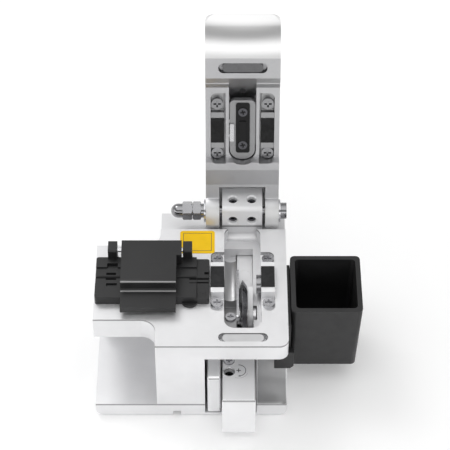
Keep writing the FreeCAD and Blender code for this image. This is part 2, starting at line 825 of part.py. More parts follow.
def build_rail():
    bar = box("rail_bar", ("web_right - 0.6", RAIL_RIGHT), ("rail_front", "rail_rear"),
              around("rail_z", "rail_height"))
    grooves = [box("rail_groove%d" % index, ("web_right + 1.5", "web_right + 2.1"),
                   ("rail_front - 1", "rail_rear + 1"), (low, high))
               for index, (low, high) in enumerate((
                   ("rail_z - rail_height / 2 - 1", "rail_z - rail_height / 2 + 0.5"),
                   ("rail_z + rail_height / 2 - 0.5", "rail_z + rail_height / 2 + 1")))]
    holes = [rod("rail_hole%d" % index, "x", ("web_right - 2", RAIL_RIGHT + " + 1"), spot,
                 "screw_shank_radius + fit_clearance") for index, spot in enumerate(rail_screw_spots())]
    sinks = [rod("rail_sink%d" % index, "x", (RAIL_RIGHT + " - 1.6", RAIL_RIGHT + " + 1"), spot,
                 "screw_head_radius + fit_clearance") for index, spot in enumerate(rail_screw_spots())]
    keep("guide_rail", cut("rail_solid", bar, *(grooves + holes + sinks)))
    screws = [screw("rail_screw%d" % index, "x", RAIL_RIGHT + " - 1.6", spot, 1)
              for index, spot in enumerate(rail_screw_spots())]
    keep("guide_rail_screws", group("rail_screws", *screws))


def build_bearing():
    block = prism("bearing_body", "XZ_Plane", rect(
        ("bearing_left", "bearing_right"), ("bearing_bottom", "bearing_top"), ("0.5",) * 4),
        (FRONT, "bearing_rear"))
    groove = box("bearing_groove", ("bearing_left - 1", RAIL_RIGHT + " + rail_gap"),
                 ("rail_front - slide_travel - 0.6", "bearing_rear + 1"),
                 around("rail_z", "rail_height + 2 * rail_gap"))
    keep("bearing_block", cut("bearing_solid", block, groove))


TOOL_HOLE = ("tool_hole_x", "tool_hole_y")
TOP_SCREW = ("tool_hole_x", "top_screw_y")


def build_slide():
    body = prism("slide_body", "XZ_Plane", rect(
        ("slide_left", "slide_right"), ("slide_bottom", "slide_top"), ("slide_round",) * 4),
        ("slide_front", "slide_rear"))
    foot = box("slide_pad", ("bearing_right", "slide_left + 1"),
               ("bearing_rear - 14", "bearing_rear"), ("bearing_bottom + 3", "bearing_top - 3"))
    hole = rod("slide_tool_hole", "z", ("slide_top - tool_hole_depth", "slide_top + 1"), TOOL_HOLE,
               "tool_hole_radius")
    sink = cone("slide_tool_sink", "z", ("slide_top - 0.3", "slide_top + 0.01"), TOOL_HOLE,
                "tool_hole_radius", "tool_hole_radius + 0.3")
    seat = rod("slide_screw_seat", "z", ("slide_top - 1", "slide_top + 1"), TOP_SCREW,
               "screw_head_radius * 0.85 + fit_clearance")
    bore = rod("slide_screw_bore", "z", ("slide_top - 2 - screw_shank_length", "slide_top"), TOP_SCREW,
               "screw_shank_radius + fit_clearance")
    groove = rod("slide_blade_groove", "x", BLADE_ROOM_X, AXLE, "blade_radius + blade_clearance")
    whole = fuse("slide_whole", body, foot)
    keep("slide_handle", cut("slide_solid", whole, hole, sink, seat, bore, groove, *carrier_bores()))
    keep("slide_top_screw", screw("slide_screw", "z", "slide_top - 1", TOP_SCREW, 1,
                                  "screw_head_radius * 0.85"))
    socket_screw = rod("adjust_body", "z", ("slide_top - tool_hole_depth", "slide_top - 2.2"), TOOL_HOLE,
                       "tool_hole_radius - 0.03")
    hexagon_socket = hexagon("adjust_socket", "z", ("slide_top - 4", "slide_top"), TOOL_HOLE, "0.9")
    keep("height_set_screw", cut("adjust_screw", socket_screw, hexagon_socket))


CARRIER_SCREWS = [("(carrier_left + carrier_right) / 2", y)
                  for y in ("carrier_screw_first", "carrier_screw_first + carrier_screw_pitch")]
BLADE_ROOM_X = ("blade_left - blade_clearance", "blade_left + blade_thick + blade_clearance")
ARM_LEFT = "blade_left + blade_thick + arm_gap"
ARM_RIGHT = "blade_left + blade_thick + arm_gap + arm_thick"


def carrier_bores():
    return [rod("bore_carrier%d" % index, "z", ("slide_top - 4.6", "slide_top + 1"), spot,
                "screw_shank_radius + fit_clearance") for index, spot in enumerate(CARRIER_SCREWS)]


def build_carrier():
    """Foot on the slide block and the upright arm that holds the blade."""
    foot = box("carrier_foot", ("carrier_left", "carrier_right"), ("arm_foot_rear - 4", "carrier_rear"),
               ("slide_top", "carrier_top"))
    clear = rod("carrier_blade_clear", "x", ("carrier_left - 1", ARM_LEFT), AXLE,
                "blade_radius + blade_clearance")
    arm_plate = prism("arm_plate", "YZ_Plane", [
        ("blade_y + 1.6", "slide_top"),
        ("arm_foot_rear", "slide_top"),
        ("arm_foot_rear", "carrier_top"),
        ("arm_top_y + 1.3", "arm_top_z - 3.9"),
        ("arm_top_y", "arm_top_z"),
        ("blade_y - 0.7", "blade_top - blade_radius + arm_round - 0.2"),
    ], (ARM_LEFT, ARM_RIGHT))
    arm_disc = rod("arm_disc", "x", (ARM_LEFT, ARM_RIGHT), AXLE, "arm_round")
    hub_hole = rod("arm_hub_hole", "x", (ARM_LEFT + " - 1", ARM_RIGHT + " + 1"), AXLE,
                   "axle_radius + fit_clearance")
    bores = [rod("carrier_hole%d" % index, "z", ("slide_top - 1", "carrier_top + 1"), spot,
                 "screw_shank_radius + fit_clearance") for index, spot in enumerate(CARRIER_SCREWS)]
    sinks = [rod("carrier_sink%d" % index, "z", ("slide_top + carrier_head_depth", "carrier_top + 8"), spot,
                 "screw_head_radius + fit_clearance") for index, spot in enumerate(CARRIER_SCREWS)]
    whole = fuse("carrier_whole", cut("carrier_foot_cut", foot, clear), arm_plate, arm_disc)
    keep("blade_carrier", cut("carrier_solid", whole, hub_hole, *(bores + sinks)))
    screws = [screw("carrier_screw%d" % index, "z", "slide_top + carrier_head_depth", spot, 1)
              for index, spot in enumerate(CARRIER_SCREWS)]
    keep("blade_carrier_screws", group("carrier_screws", *screws))


STOP_DISC = ("stop_disc_y", "stop_disc_z")
STOP_FACE = SLOT_RIGHT + " - stop_gap - stop_disc_thick"


def build_stop_disc():
    """Small eccentric disc beside the blade arm, held in the right clamp seat."""
    head = rod("stop_disc_head", "x", (STOP_FACE, SLOT_RIGHT + " - stop_gap"), STOP_DISC, "stop_disc_radius")
    stem = rod("stop_disc_stem", "x", (SLOT_RIGHT + " - 2 * stop_gap", SLOT_RIGHT + " + stop_stem_length"),
               STOP_DISC, "stop_stem_radius")
    slot = box("stop_disc_slot", (STOP_FACE + " - 1", STOP_FACE + " + stop_slot_depth"),
               around("stop_disc_y", "stop_slot_width"), around("stop_disc_z", "stop_disc_radius * 3"))
    keep("eccentric_disc", cut("stop_disc", fuse("stop_disc_whole", head, stem), slot))


def build_blade():
    """Round blade with a bevelled cutting edge, turned step by step when it wears."""
    outline = [
        ("blade_bore", "blade_left"),
        ("blade_radius - blade_bevel", "blade_left"),
        ("blade_radius", "blade_edge_x"),
        ("blade_radius", "blade_edge_x + 0.08"),
        ("blade_radius - blade_bevel", "blade_left + blade_thick"),
        ("blade_bore", "blade_left + blade_thick"),
    ]
    keep("blade", turned("blade_wheel", "x", outline, ("0", "blade_y", "blade_top - blade_radius")))
    flange = rod("axle_flange", "x", ("blade_left - axle_head_height", "blade_left"), AXLE,
                 "axle_head_radius + 0.6")
    barrel = rod("axle_barrel", "x", ("blade_left - 0.5", ARM_LEFT), AXLE, "blade_bore - 0.02")
    stem = rod("axle_stem", "x", ("blade_left", ARM_RIGHT + " + 0.2"), AXLE, "axle_radius")
    head = rod("axle_head", "x", (ARM_RIGHT + " + 0.1", ARM_RIGHT + " + 0.1 + axle_head_height"), AXLE,
               "axle_head_radius + 0.8")
    slot = box("axle_slot", (ARM_RIGHT + " + 0.6", ARM_RIGHT + " + 3"), around("blade_y", "7.4"),
               around("blade_top - blade_radius", "0.8"))
    keep("blade_axle", cut("axle_solid", fuse("axle_whole", flange, barrel, stem, head), slot))


def build_guard():
    """Fixed block on the left of the blade, with a screwed ledge at its front."""
    outline = [
        ("guard_front", "guard_floor"),
        ("guard_rear", "guard_floor"),
        ("guard_rear", "guard_top"),
        ("guard_step", "guard_top"),
        ("guard_step", "guard_ledge"),
        ("guard_front", "guard_ledge"),
    ]
    block = prism("guard_block", "YZ_Plane", outline, GUARD_X)
    groove = rod("guard_groove", "y", ("guard_step - 1", "guard_rear + 1"),
                 (GUARD_MIDDLE, "guard_top + guard_groove_radius - guard_groove_depth"),
                 "guard_groove_radius")
    hole = rod("guard_hole", "z", ("guard_floor - 1", "guard_ledge + 1"), GUARD_SCREW,
               "screw_shank_radius + fit_clearance")
    seat = rod("guard_seat", "z", ("guard_floor + guard_head_depth", "guard_ledge + 1"), GUARD_SCREW,
               "screw_head_radius * 0.85 + fit_clearance")
    keep("blade_guard", cut("guard_solid", block, groove, hole, seat))
    keep("blade_guard_screw", screw("guard_screw", "z", "guard_floor + guard_head_depth", GUARD_SCREW, 1,
                                    "screw_head_radius * 0.85"))
    strip = prism("strip_plate", "YZ_Plane", rect(
        ("strip_front", "strip_rear"), ("strip_low", "strip_high"), ("0.6",) * 4),
        (GUARD_X[1], GUARD_X[1] + " + strip_thick"))
    keep("guard_strip", strip)


# Hinge hardware

HINGE = ("hinge_y", "hinge_z")
LID_LEFT = "lid_centre - lid_width / 2"
LID_RIGHT = "lid_centre + lid_width / 2"
WASHER_L = (LID_LEFT + " - washer_gap - washer_thick", LID_LEFT + " - washer_gap")
WASHER_R = (LID_RIGHT + " + washer_gap", LID_RIGHT + " + washer_gap + washer_thick")
COLLAR = (WASHER_L[0] + " - collar_length", WASHER_L[0])
NUT = (COLLAR[0] + " - nut_length", COLLAR[0])
ACORN = (NUT[0] + " - acorn_gap - acorn_hex_length", NUT[0] + " - acorn_gap")


def build_hinge_hardware():
    shank = rod("bolt_shank", "x", (ACORN[0], WASHER_R[1]), HINGE, "shaft_radius")
    head = rod("bolt_head", "x", (WASHER_R[1], WASHER_R[1] + " + bolt_head_length"), HINGE,
               "bolt_head_radius")
    socket = hexagon("bolt_socket", "x", (WASHER_R[1] + " + bolt_head_length - 1.2",
                                          WASHER_R[1] + " + bolt_head_length + 1"), HINGE, "1.45")
    keep("hinge_bolt", cut("hinge_bolt_solid", fuse("bolt_whole", shank, head), socket))
    for node, span, radius in (("hinge_washer_left", WASHER_L, "washer_radius"),
                               ("hinge_washer_right", WASHER_R, "washer_radius"),
                               ("hinge_collar", COLLAR, "collar_radius")):
        keep(node, ring(node, span, radius))
    nut = hexagon("nut_hex", "x", NUT, HINGE, "nut_radius")
    chamfer = cone_pair("nut_chamfer", NUT, "nut_radius")
    keep("hinge_lock_nut", cut("hinge_nut", common("nut_faced", nut, chamfer), bore_along("nut_bore", NUT)))
    hexagon_part = hexagon("acorn_hex", "x", ACORN, HINGE, "nut_radius")
    faced = common("acorn_faced", hexagon_part, cone_pair("acorn_chamfer", ACORN, "nut_radius"))
    neck = rod("acorn_neck", "x", (ACORN[0] + " - acorn_dome_length", ACORN[0] + " + 0.5"), HINGE,
               "acorn_dome_radius")
    dome = doc.addObject("Part::Sphere", "acorn_dome")
    bind(dome, "Radius", "acorn_dome_radius")
    lay_along(dome, "x", ACORN[0] + " - acorn_dome_length", HINGE)
    whole = fuse("acorn_whole", faced, neck, dome)
    keep("hinge_acorn_nut", cut("hinge_acorn", whole, bore_along("acorn_bore", ACORN)))


def common(name, first, second):
    result = doc.addObject("Part::MultiCommon", name)
    result.Shapes = [first, second]
    return result


def cone_pair(name, span, radius):
    """Barrel with conical ends that takes the sharp corners off a nut."""
    middle = "((%s) + (%s)) / 2" % span
    slack = "(%s) * 1.02" % radius
    narrow = "(%s) * 0.88" % radius
    low = cone(name + "_low", "x", (span[0], "(%s) + 0.35" % span[0]), HINGE, narrow, slack)
    body = rod(name + "_mid", "x", ("(%s) + 0.35" % span[0], "(%s) - 0.35" % span[1]), HINGE, slack)
    high = cone(name + "_high", "x", ("(%s) - 0.35" % span[1], span[1]), HINGE, slack, narrow)
    return fuse(name, low, body, high)


def bore_along(name, span):
    return rod(name, "x", ("(%s) - 0.001" % span[0], "(%s) + 0.001" % span[1]), HINGE, "shaft_radius + 0.02")


def ring(node, span, radius):
    return cut(node + "_ring", rod(node + "_disc", "x", span, HINGE, radius),
               rod(node + "_hole", "x", ("(%s) - 1" % span[0], "(%s) + 1" % span[1]), HINGE,
                   "shaft_radius + 0.02"))


def build_set_screws():
    """Four set screws that hold the shaft, two from above and two from the front."""
    screws = []
    for index, way in enumerate((-1, 1)):
        x = "lid_centre + %d * set_screw_pitch / 2" % way
        low = "hinge_z + shaft_radius + 0.05"
        top = rod("set_top%d" % index, "z", (low, low + " + set_screw_length"), (x, "hinge_y"),
                  "set_screw_radius")
        top_socket = hexagon("set_top_socket%d" % index, "z",
                             (low + " + set_screw_length - 1.2", low + " + set_screw_length + 1"),
                             (x, "hinge_y"), "0.85")
        screws.append(cut("set_screw_top%d" % index, top, top_socket))
        rear = "hinge_y - shaft_radius - 0.05"
        front_length = "(set_screw_length * 0.8)"
        front = rod("set_front%d" % index, "y", (rear + " - " + front_length, rear), (x, "hinge_z"),
                    "set_screw_radius")
        front_socket = hexagon("set_front_socket%d" % index, "y",
                               (rear + " - " + front_length + " - 1", rear + " - " + front_length + " + 1"),
                               (x, "hinge_z"), "0.85")
        screws.append(cut("set_screw_front%d" % index, front, front_socket))
    keep("knuckle_set_screws", group("set_screws", *screws))


# Lid, drawn upright about its hinge axis: x across, -y its inner side, z away from the hinge

SKIN_S = "sqrt(back_radius ^ 2 - back_n ^ 2)"
HEEL_DROP = "(hinge_z - hinge_floor - 0.2)"
HEEL_OUT = "sqrt(back_radius ^ 2 - %s ^ 2)" % HEEL_DROP
TIP_CY = "(tip_radius * cos(tip_start_angle) - land_n)"
TIP_CZ = "(land_end - tip_radius * sin(tip_start_angle))"
TIP_BACK_ANGLE = "(tip_end_angle / 2)"


def tip_point(radius, angle):
    return ("%s - (%s) * cos(%s)" % (TIP_CY, radius, angle), "%s + (%s) * sin(%s)" % (TIP_CZ, radius, angle))


def in_lid(y, z):
    """Lid coordinates of a point given from the hinge axis in the rest pose."""
    return ("(%s) * cos(lid_lean) - (%s) * sin(lid_lean)" % (y, z),
            "(%s) * sin(lid_lean) + (%s) * cos(lid_lean)" % (y, z))


def lid_profile():
    inner_radius = "(tip_radius - tip_thick)"
    heel_front = in_lid("0", "-" + HEEL_DROP)
    heel_back = in_lid(HEEL_OUT, "-" + HEEL_DROP)
    start = tip_point("tip_radius", "tip_start_angle")
    end = tip_point("tip_radius", "tip_end_angle")
    inside = tip_point(inner_radius, "tip_end_angle")
    inside_end = tip_point(inner_radius, TIP_BACK_ANGLE)
    return [
        ("-root_n", "0"),
        heel_front,
        heel_back,
        ("back_n", SKIN_S, "back_radius", "0", "0", 1),
        ("back_n", "back_bend"),
        inside_end,
        (inside[0], inside[1], inner_radius, TIP_CY, TIP_CZ, -1),
        end,
        (start[0], start[1], "tip_radius", TIP_CY, TIP_CZ, 1),
        ("-land_n", "land_start"),
        ("-ledge_n", "ledge_high"),
        ("-ledge_n", "ledge_low"),
        ("-rail_n", "rail_end"),
        ("-rail_n", "rail_start"),
        ("-land_n", "root_end"),
        ("-land_n", "root_facet"),
        ("-root_n", "root_start"),
    ]


SEAT_IN = "slot_width / 2"
SEAT_OUT = "slot_width / 2 + clamp_width"


EAR_INNER = "knuckle_width / 2 + ear_gap"


def lid_cuts():
    hollow = rod("lid_hollow", "x", ("-(%s)" % EAR_INNER, EAR_INNER), ("0", "0"), "hinge_hollow")
    slope = prism("lid_channel_slope", "YZ_Plane", [
        ("lid_channel_depth", "lid_channel_slope_low"),
        ("-land_n - 1", "lid_channel_slope_high + (lid_channel_slope_high - lid_channel_slope_low)"
                        " / (land_n + lid_channel_depth)"),
        ("-land_n - 1", "lid_channel_slope_low - 1"),
        ("lid_channel_depth", "lid_channel_slope_low - 1"),
    ][::-1], around("0", "channel_width"))
    channel_short = prism("lid_channel_low", "XZ_Plane", rect(
        around("0", "channel_width"), ("lid_channel_end", "lid_channel_slope_low"),
        ("channel_width * 0.45", "channel_width * 0.45", None, None)),
        ("-land_n - 1", "lid_channel_depth"))
    pocket = prism("lid_pocket_left", "XZ_Plane", rect(
        ("-(%s) - 0.05" % SEAT_OUT, "-(%s) + 0.5" % SEAT_IN), ("lid_pocket_start", "lid_pocket_end"),
        ("clamp_round", None, None, "clamp_round")), ("-land_n - 1", "lid_pocket_depth"))
    pocket_right = side_twin("lid_pocket_right", pocket)
    magnet = prism("lid_magnet_cut", "XZ_Plane", rect(
        around("0", "magnet_slot_length"), around("lid_magnet_s", "magnet_slot_width"),
        ("magnet_slot_width * 0.47",) * 4), ("-land_n - 1", "-land_n + magnet_slot_depth"))
    hole = rod("lid_small_hole", "y", ("-land_n - 1", "lid_channel_depth"), ("0", "lid_small_hole_s"),
               "lid_small_hole_radius")
    bush_bore = rod("lid_bush_bore", "x", ("-lid_width", "lid_width"), ("0", "0"), "bush_radius + 0.02")
    return [hollow, slope, channel_short, pocket, pocket_right, magnet, hole, bush_bore]


def side_twin(name, source):
    twin = doc.addObject("Part::Mirroring", name)
    twin.Source = source
    twin.Normal = Vector(1, 0, 0)
    return twin


def tip_corner_cuts():
    cuts = []
    tip_z = "%s + tip_radius * sin(tip_end_angle)" % TIP_CZ
    square = box("tip_square", ("lid_width / 2 - tip_corner", "lid_width / 2 + 1"), ("-5", "15"),
                 ("%s - tip_corner" % tip_z, "%s + 1" % tip_z))
    round_part = rod("tip_round", "y", ("-6", "16"),
                     ("lid_width / 2 - tip_corner", "%s - tip_corner" % tip_z),
                     "tip_corner")
    right = cut("tip_corner_right", square, round_part)
    return [right, side_twin("tip_corner_left", right)]


def lid_clamp_screw_spots(side):
    x = "%s * (slot_width / 2 + clamp_width / 2 + 0.1)" % side
    return [(x, "lid_clamp_centre - lid_screw_low"), (x, "lid_clamp_centre + lid_screw_high")]


def lid_bores():
    bores = []
    for side in (-1, 1):
        for index, spot in enumerate(lid_clamp_screw_spots(side)):
            bores.append(rod("lid_bore%d%d" % (side + 1, index), "y",
                             ("lid_pocket_depth - 1", "lid_ledge_n + screw_shank_length + 0.3"), spot,
                             "screw_shank_radius + fit_clearance"))
    for index, z in enumerate(PIN_Z):
        bores.append(rod("lid_pin_bore%d" % index, "y", ("lid_channel_depth - 1", "lid_channel_depth + 1.6"),
                         ("-guide_pin_offset", z), "guide_pin_radius + 0.02"))
    return bores


PIN_Z = ("anvil_bar_start + 1.2", "anvil_bar_end - 1.2")


def on_lid(node, thing):
    """Set a lid sub-part on the hinge axis, leaning back."""
    thing.Placement = Placement(Vector(), Rotation(Vector(-1, 0, 0), 1))
    bind(thing, "Placement.Base.x", "lid_centre")
    bind(thing, "Placement.Base.y", "hinge_y")
    bind(thing, "Placement.Base.z", "hinge_z")
    bind(thing, "Placement.Rotation.Angle", "lid_lean")
    return keep(node, thing)


def build_lid():
    arm = prism("lid_block", "YZ_Plane", lid_profile(), around("0", "lid_width"))
    barrel = rod("lid_barrel", "x", around("0", "lid_width"), ("0", "0"), "barrel_radius")
    whole = fuse("lid_whole", arm, barrel)
    on_lid("lid_arm", cut("lid_solid", whole, *(lid_cuts() + tip_corner_cuts() + lid_bores())))
    bar = prism("lid_magnet_bar", "XZ_Plane", rect(
        around("0", "magnet_length"), around("lid_magnet_s", "magnet_width"),
        ("magnet_width * 0.45",) * 4), ("-land_n + magnet_sunk", "-land_n + magnet_slot_depth"))
    on_lid("lid_magnet", bar)
    for side, sign in (("left", -1), ("right", 1)):
        ends = (EAR_INNER, "lid_width / 2") if sign > 0 else ("-lid_width / 2", "-(%s)" % EAR_INNER)
        tube = rod("bush_tube_" + side, "x", ends, ("0", "0"), "bush_radius")
        hole = rod("bush_hole_" + side, "x", ("(%s) - 1" % ends[0], "(%s) + 1" % ends[1]), ("0", "0"),
                   "shaft_radius + fit_clearance")
        on_lid("hinge_bush_" + side, cut("bush_" + side, tube, hole))


def build_upper_clamps():
    x = ("-(%s)" % SEAT_OUT, "-(%s)" % SEAT_IN)
    high = box("upper_high", x, ("lid_pad_n + pad_proud", "lid_pocket_depth"),
               around("lid_clamp_centre", "clamp_block_length"))
    low = prism("upper_low", "XZ_Plane", rect(
        x, ("lid_pocket_start + 0.2", "lid_pocket_end - 0.2"), ("clamp_round", None, None, "clamp_round")),
        ("lid_ledge_n", "lid_pocket_depth"))
    notch = box("upper_notch", ("-(%s) - 1" % SEAT_OUT, "-(%s) + 1" % SEAT_IN),
                ("-5", "lid_pad_n + pad_depth"), around("lid_clamp_centre", "clamp_pad_length"))
    holes = [rod("upper_hole%d" % index, "y", ("lid_ledge_n - 1", "lid_pocket_depth + 1"), spot,
                 "screw_shank_radius + fit_clearance")
             for index, spot in enumerate(lid_clamp_screw_spots(-1))]
    seat = cut("upper_seat_left", fuse("upper_whole", high, low), notch, *holes)
    pad = box("upper_pad_left", x, ("lid_pad_n", "lid_pad_n + pad_depth"),
              around("lid_clamp_centre", "clamp_pad_length"))
    right_seat = side_twin("upper_seat_right", seat)
    right_pad = side_twin("upper_pad_right", pad)
    on_lid("clamp_seat_upper_left", group("upper_seat_left_set", seat))
    on_lid("clamp_seat_upper_right", group("upper_seat_right_set", right_seat))
    on_lid("clamp_pad_upper_left", group("upper_pad_left_set", pad))
    on_lid("clamp_pad_upper_right", group("upper_pad_right_set", right_pad))
    screws = []
    for side in (-1, 1):
        for index, spot in enumerate(lid_clamp_screw_spots(side)):
            screws.append(screw("upper_screw%d%d" % (side + 1, index), "y", "lid_ledge_n", spot, -1))
    on_lid("clamp_screws_upper", group("clamp_screws_up", *screws))


def build_anvil():
    carrier = prism("anvil_carrier_body", "XZ_Plane", rect(
        around("0", "channel_width - 0.5"), ("carrier_start", "carrier_end"),
        (None, None, "carrier_round", "carrier_round")), ("carrier_n", "carrier_n + carrier_depth"))
    screw_spots = [("0.1", "anvil_screw_low"), ("0.1", "anvil_screw_high")]
    holes = [rod("anvil_carrier_hole%d" % index, "y", ("-1", "8"), spot, "screw_shank_radius + fit_clearance")
             for index, spot in enumerate(screw_spots)]
    pin_holes = [rod("anvil_pin_hole%d" % index, "y", ("carrier_n + 0.3", "8"), ("-guide_pin_offset", z),
                     "guide_pin_radius + fit_clearance") for index, z in enumerate(PIN_Z)]
    on_lid("anvil_carrier", cut("anvil_carrier_solid", carrier, *(holes + pin_holes)))
    plate = prism("anvil_plate", "XZ_Plane", rect(
        around("0.1", "anvil_width"), ("anvil_start", "anvil_end"), ("0.8",) * 4),
        ("anvil_plate_n", "carrier_n"))
    bar = prism("anvil_bar", "XZ_Plane", rect(
        around("0.1", "anvil_bar_width"), ("anvil_bar_start", "anvil_bar_end"), ("0.6",) * 4),
        ("anvil_n", "carrier_n"))
    plate_holes = [rod("anvil_hole%d" % index, "y", ("-1", "8"), spot, "screw_shank_radius + fit_clearance")
                   for index, spot in enumerate(screw_spots)]
    head_seats = [rod("anvil_seat%d" % index, "y", ("-1", "anvil_plate_n"), spot,
                      "anvil_screw_radius + fit_clearance") for index, spot in enumerate(screw_spots)]
    on_lid("anvil", cut("anvil_solid", fuse("anvil_whole", plate, bar), *(plate_holes + head_seats)))
    screws = []
    for index, (x, z) in enumerate(screw_spots):
        head = rod("anvil_screw_head%d" % index, "y", ("anvil_plate_n - 0.35", "anvil_plate_n"), (x, z),
                   "anvil_screw_radius")
        shank = rod("anvil_screw_shank%d" % index, "y", ("anvil_plate_n", "carrier_n + carrier_depth"),
                    (x, z), "screw_shank_radius")
        slots = [box("anvil_screw_slot%d%d" % (index, turn), around(x, wide),
                     ("anvil_plate_n - 1", "anvil_plate_n - 0.05"), around(z, tall))
                 for turn, (wide, tall) in enumerate((("0.4", "2"), ("2", "0.4")))]
        screws.append(cut("anvil_screw%d" % index, fuse("anvil_screw_body%d" % index, head, shank), *slots))
    on_lid("anvil_screws", group("anvil_screw_set", *screws))
    bar_side = prism("side_bar_body", "XZ_Plane", rect(
        around("-guide_pin_offset", "side_bar_width"), ("side_bar_start", "side_bar_end"), ("0.3",) * 4),
        ("carrier_n - side_bar_proud", "carrier_n"))
    on_lid("anvil_side_bar", bar_side)
    pins = [rod("guide_pin%d" % index, "y", ("carrier_n + anvil_travel + 0.4", "lid_channel_depth + 1.6"),
                ("-guide_pin_offset", z), "guide_pin_radius") for index, z in enumerate(PIN_Z)]
    on_lid("anvil_guide_pins", group("guide_pins", *pins))


# Fibre holder and flap

HOLDER_X = ("holder_left", HOLDER_RIGHT)


def build_holder():
    base = prism("holder_body", "XY_Plane", rect(
        HOLDER_X, ("holder_front", "holder_rear"), ("0.8",) * 4), ("deck_top", "holder_top"))
    lugs = [lug("lug%d" % index, x) for index, x in enumerate(("lug_left_x", "lug_right_x"))]
    whole = fuse("holder_whole", base, *lugs)
    low = "holder_top - holder_channel_depth"
    channel = box("holder_channel", ("holder_left - 1", HOLDER_RIGHT + " + 1"),
                  ("holder_channel_front", "holder_channel_rear"), (low, "holder_top + 1"))
    front_step = box("holder_front_step", (HOLDER_RIGHT + " - holder_end_step", HOLDER_RIGHT + " + 1"),
                     ("holder_front - 1", "holder_rear + 1"), ("holder_end_top", "holder_top + 1"))
    groove = prism("holder_groove", "YZ_Plane", [
        ("clamp_y - 0.7 - groove_width / 2", low + " + 0.001"),
        ("clamp_y - 0.7", low + " - groove_depth"),
        ("clamp_y - 0.7 + groove_width / 2", low + " + 0.001"),
    ], ("holder_left - 1", HOLDER_RIGHT + " + 1"))
    notch_rear = box("holder_notch_rear", ("holder_left + 3.6", "holder_left + 7.1"),
                     ("-0.9", "0.9"), (low + " - 0.6", "holder_top + 1"))
    notch_front = box("holder_notch_front", ("holder_left + 3.6", "holder_left + 7.1"),
                      ("-9.2", "-7.4"), (low + " - 0.6", "holder_top + 1"))
    pin_hole = rod("holder_pin_hole", "x", ("holder_left", HOLDER_RIGHT), ("pin_y", "pin_z"),
                   "pin_radius + 0.01")
    disc_seat = rod("holder_disc_seat", "z", ("deck_top - 1", "deck_top + disc_height + fit_clearance"),
                    ("disc_x", "disc_y"), "disc_radius + fit_clearance")
    ticks = [box("holder_tick%d" % index, around(HOLDER_RIGHT + " - 1.2 - %g" % (0.9 * index), "0.25"),
                 ("holder_front + 1.2", "holder_front + %g" % (2.6 if index % 2 else 3.2)),
                 ("holder_end_top - 0.12", "holder_end_top + 1")) for index in range(4)]
    keep("holder_base", cut("holder_solid", whole, channel, front_step, groove, notch_rear, notch_front,
                            pin_hole, disc_seat, *ticks))
    keep("locating_disc", rod("locating_disc_solid", "z", ("deck_top", "deck_top + disc_height"),
                              ("disc_x", "disc_y"), "disc_radius"))
    keep("flap_pin", rod("flap_pin_solid", "x", ("lug_left_x - lug_width / 2", "lug_right_x + lug_width / 2"),
                         ("pin_y", "pin_z"), "pin_radius"))


def lug(name, x):
    """Square lug with a chamfered front top edge."""
    return prism(name, "YZ_Plane", [
        ("pin_y - lug_radius", "deck_top"),
        ("pin_y + lug_radius", "deck_top"),
        ("pin_y + lug_radius", "lug_top"),
        ("pin_y - lug_radius + lug_chamfer", "lug_top"),
        ("pin_y - lug_radius", "lug_top - lug_chamfer"),
    ], around(x, "lug_width"))


def build_flap():
    """Hinged flap that holds the fibre down, with a low thumb tab at its front."""
    under = "holder_top + flap_gap"
    plate = prism("flap_plate", "YZ_Plane", [
        ("tab_front", "tab_bottom"),
        ("tab_front + 2", "tab_bottom"),
        ("holder_front - 0.6", under),
        ("pin_y - 1", under),
        ("pin_y - 1", "flap_top"),
        ("flap_front + flap_round", "flap_top"),
        ("flap_front", "flap_top - flap_round", "flap_round", "flap_front + flap_round",
         "flap_top - flap_round", 1),
        ("flap_front", "tab_top + 0.6"),
        ("flap_front - 0.6", "tab_top"),
        ("tab_front", "tab_top"),
    ], ("flap_left", "flap_right"))
    root = box("flap_root", ("flap_root_left", "flap_root_right"), ("flap_root_front", "pin_y + 1.9"),
               (under, "flap_top"))
    eye = rod("flap_eye", "x", ("flap_root_left", "flap_root_right"), ("pin_y", "pin_z"), "lug_radius - 0.35")
    rear_under = box("flap_rear_under", ("flap_root_left - 1", "flap_root_right + 1"),
                     ("pin_y", "pin_y + 4"), ("deck_top", "pin_z - lug_radius + 0.6"))
    hole = rod("flap_hole", "x", ("flap_root_left - 1", "flap_root_right + 1"), ("pin_y", "pin_z"),
               "pin_radius + fit_clearance")
    hollow = box("flap_hollow", ("flap_left + 1.6", "flap_right - 1.6"), ("flap_front + 1.6", "pin_y - 3.6"),
                 (under + " - 1", "flap_top - 1.6"))
    presser = prism("flap_presser", "XY_Plane", rect(
        ("flap_left + 3", "flap_right - 3"), ("holder_channel_front + 0.6", "holder_channel_rear - 0.6"),
        ("0.5",) * 4), (under, "flap_top - 1"))
    whole = fuse("flap_whole", plate, root, eye)
    shell = cut("flap_shell", whole, hole, hollow, rear_under)
    keep("holder_flap", fuse("flap_solid", shell, presser))


def build_sticker():
    keep("label_plate", prism("label_sheet", "XY_Plane", rect(
        ("sticker_left", "sticker_left + sticker_width"), ("sticker_front", "sticker_front + sticker_depth"),
        ("1",) * 4), ("deck_top", "deck_top + sticker_thick")))


# Scrap bin

def tapered(name, low, high, span):
    """Solid lofted between a low and a high rounded rectangle."""
    body = doc.addObject("PartDesign::Body", name)
    bottom = sketch_outline(body, name + "_bottom", "XY_Plane", rect(*low), span[0])
    top = sketch_outline(body, name + "_top", "XY_Plane", rect(*high), span[1])
    loft = body.newObject("PartDesign::AdditiveLoft", name + "_loft")
    loft.Profile = bottom
    loft.Sections = [top]
    loft.Ruled = True
    return body


def bin_section(inset, radius, draft):
    right = BIN_LEFT + " + bin_width - (%s) - (%s)" % (inset, draft)
    x = (BIN_LEFT + " + (%s)" % inset, right)
    y = ("bin_front + (%s)" % inset, "bin_front + bin_depth - (%s)" % inset)
    return (x, y, (radius,) * 4)


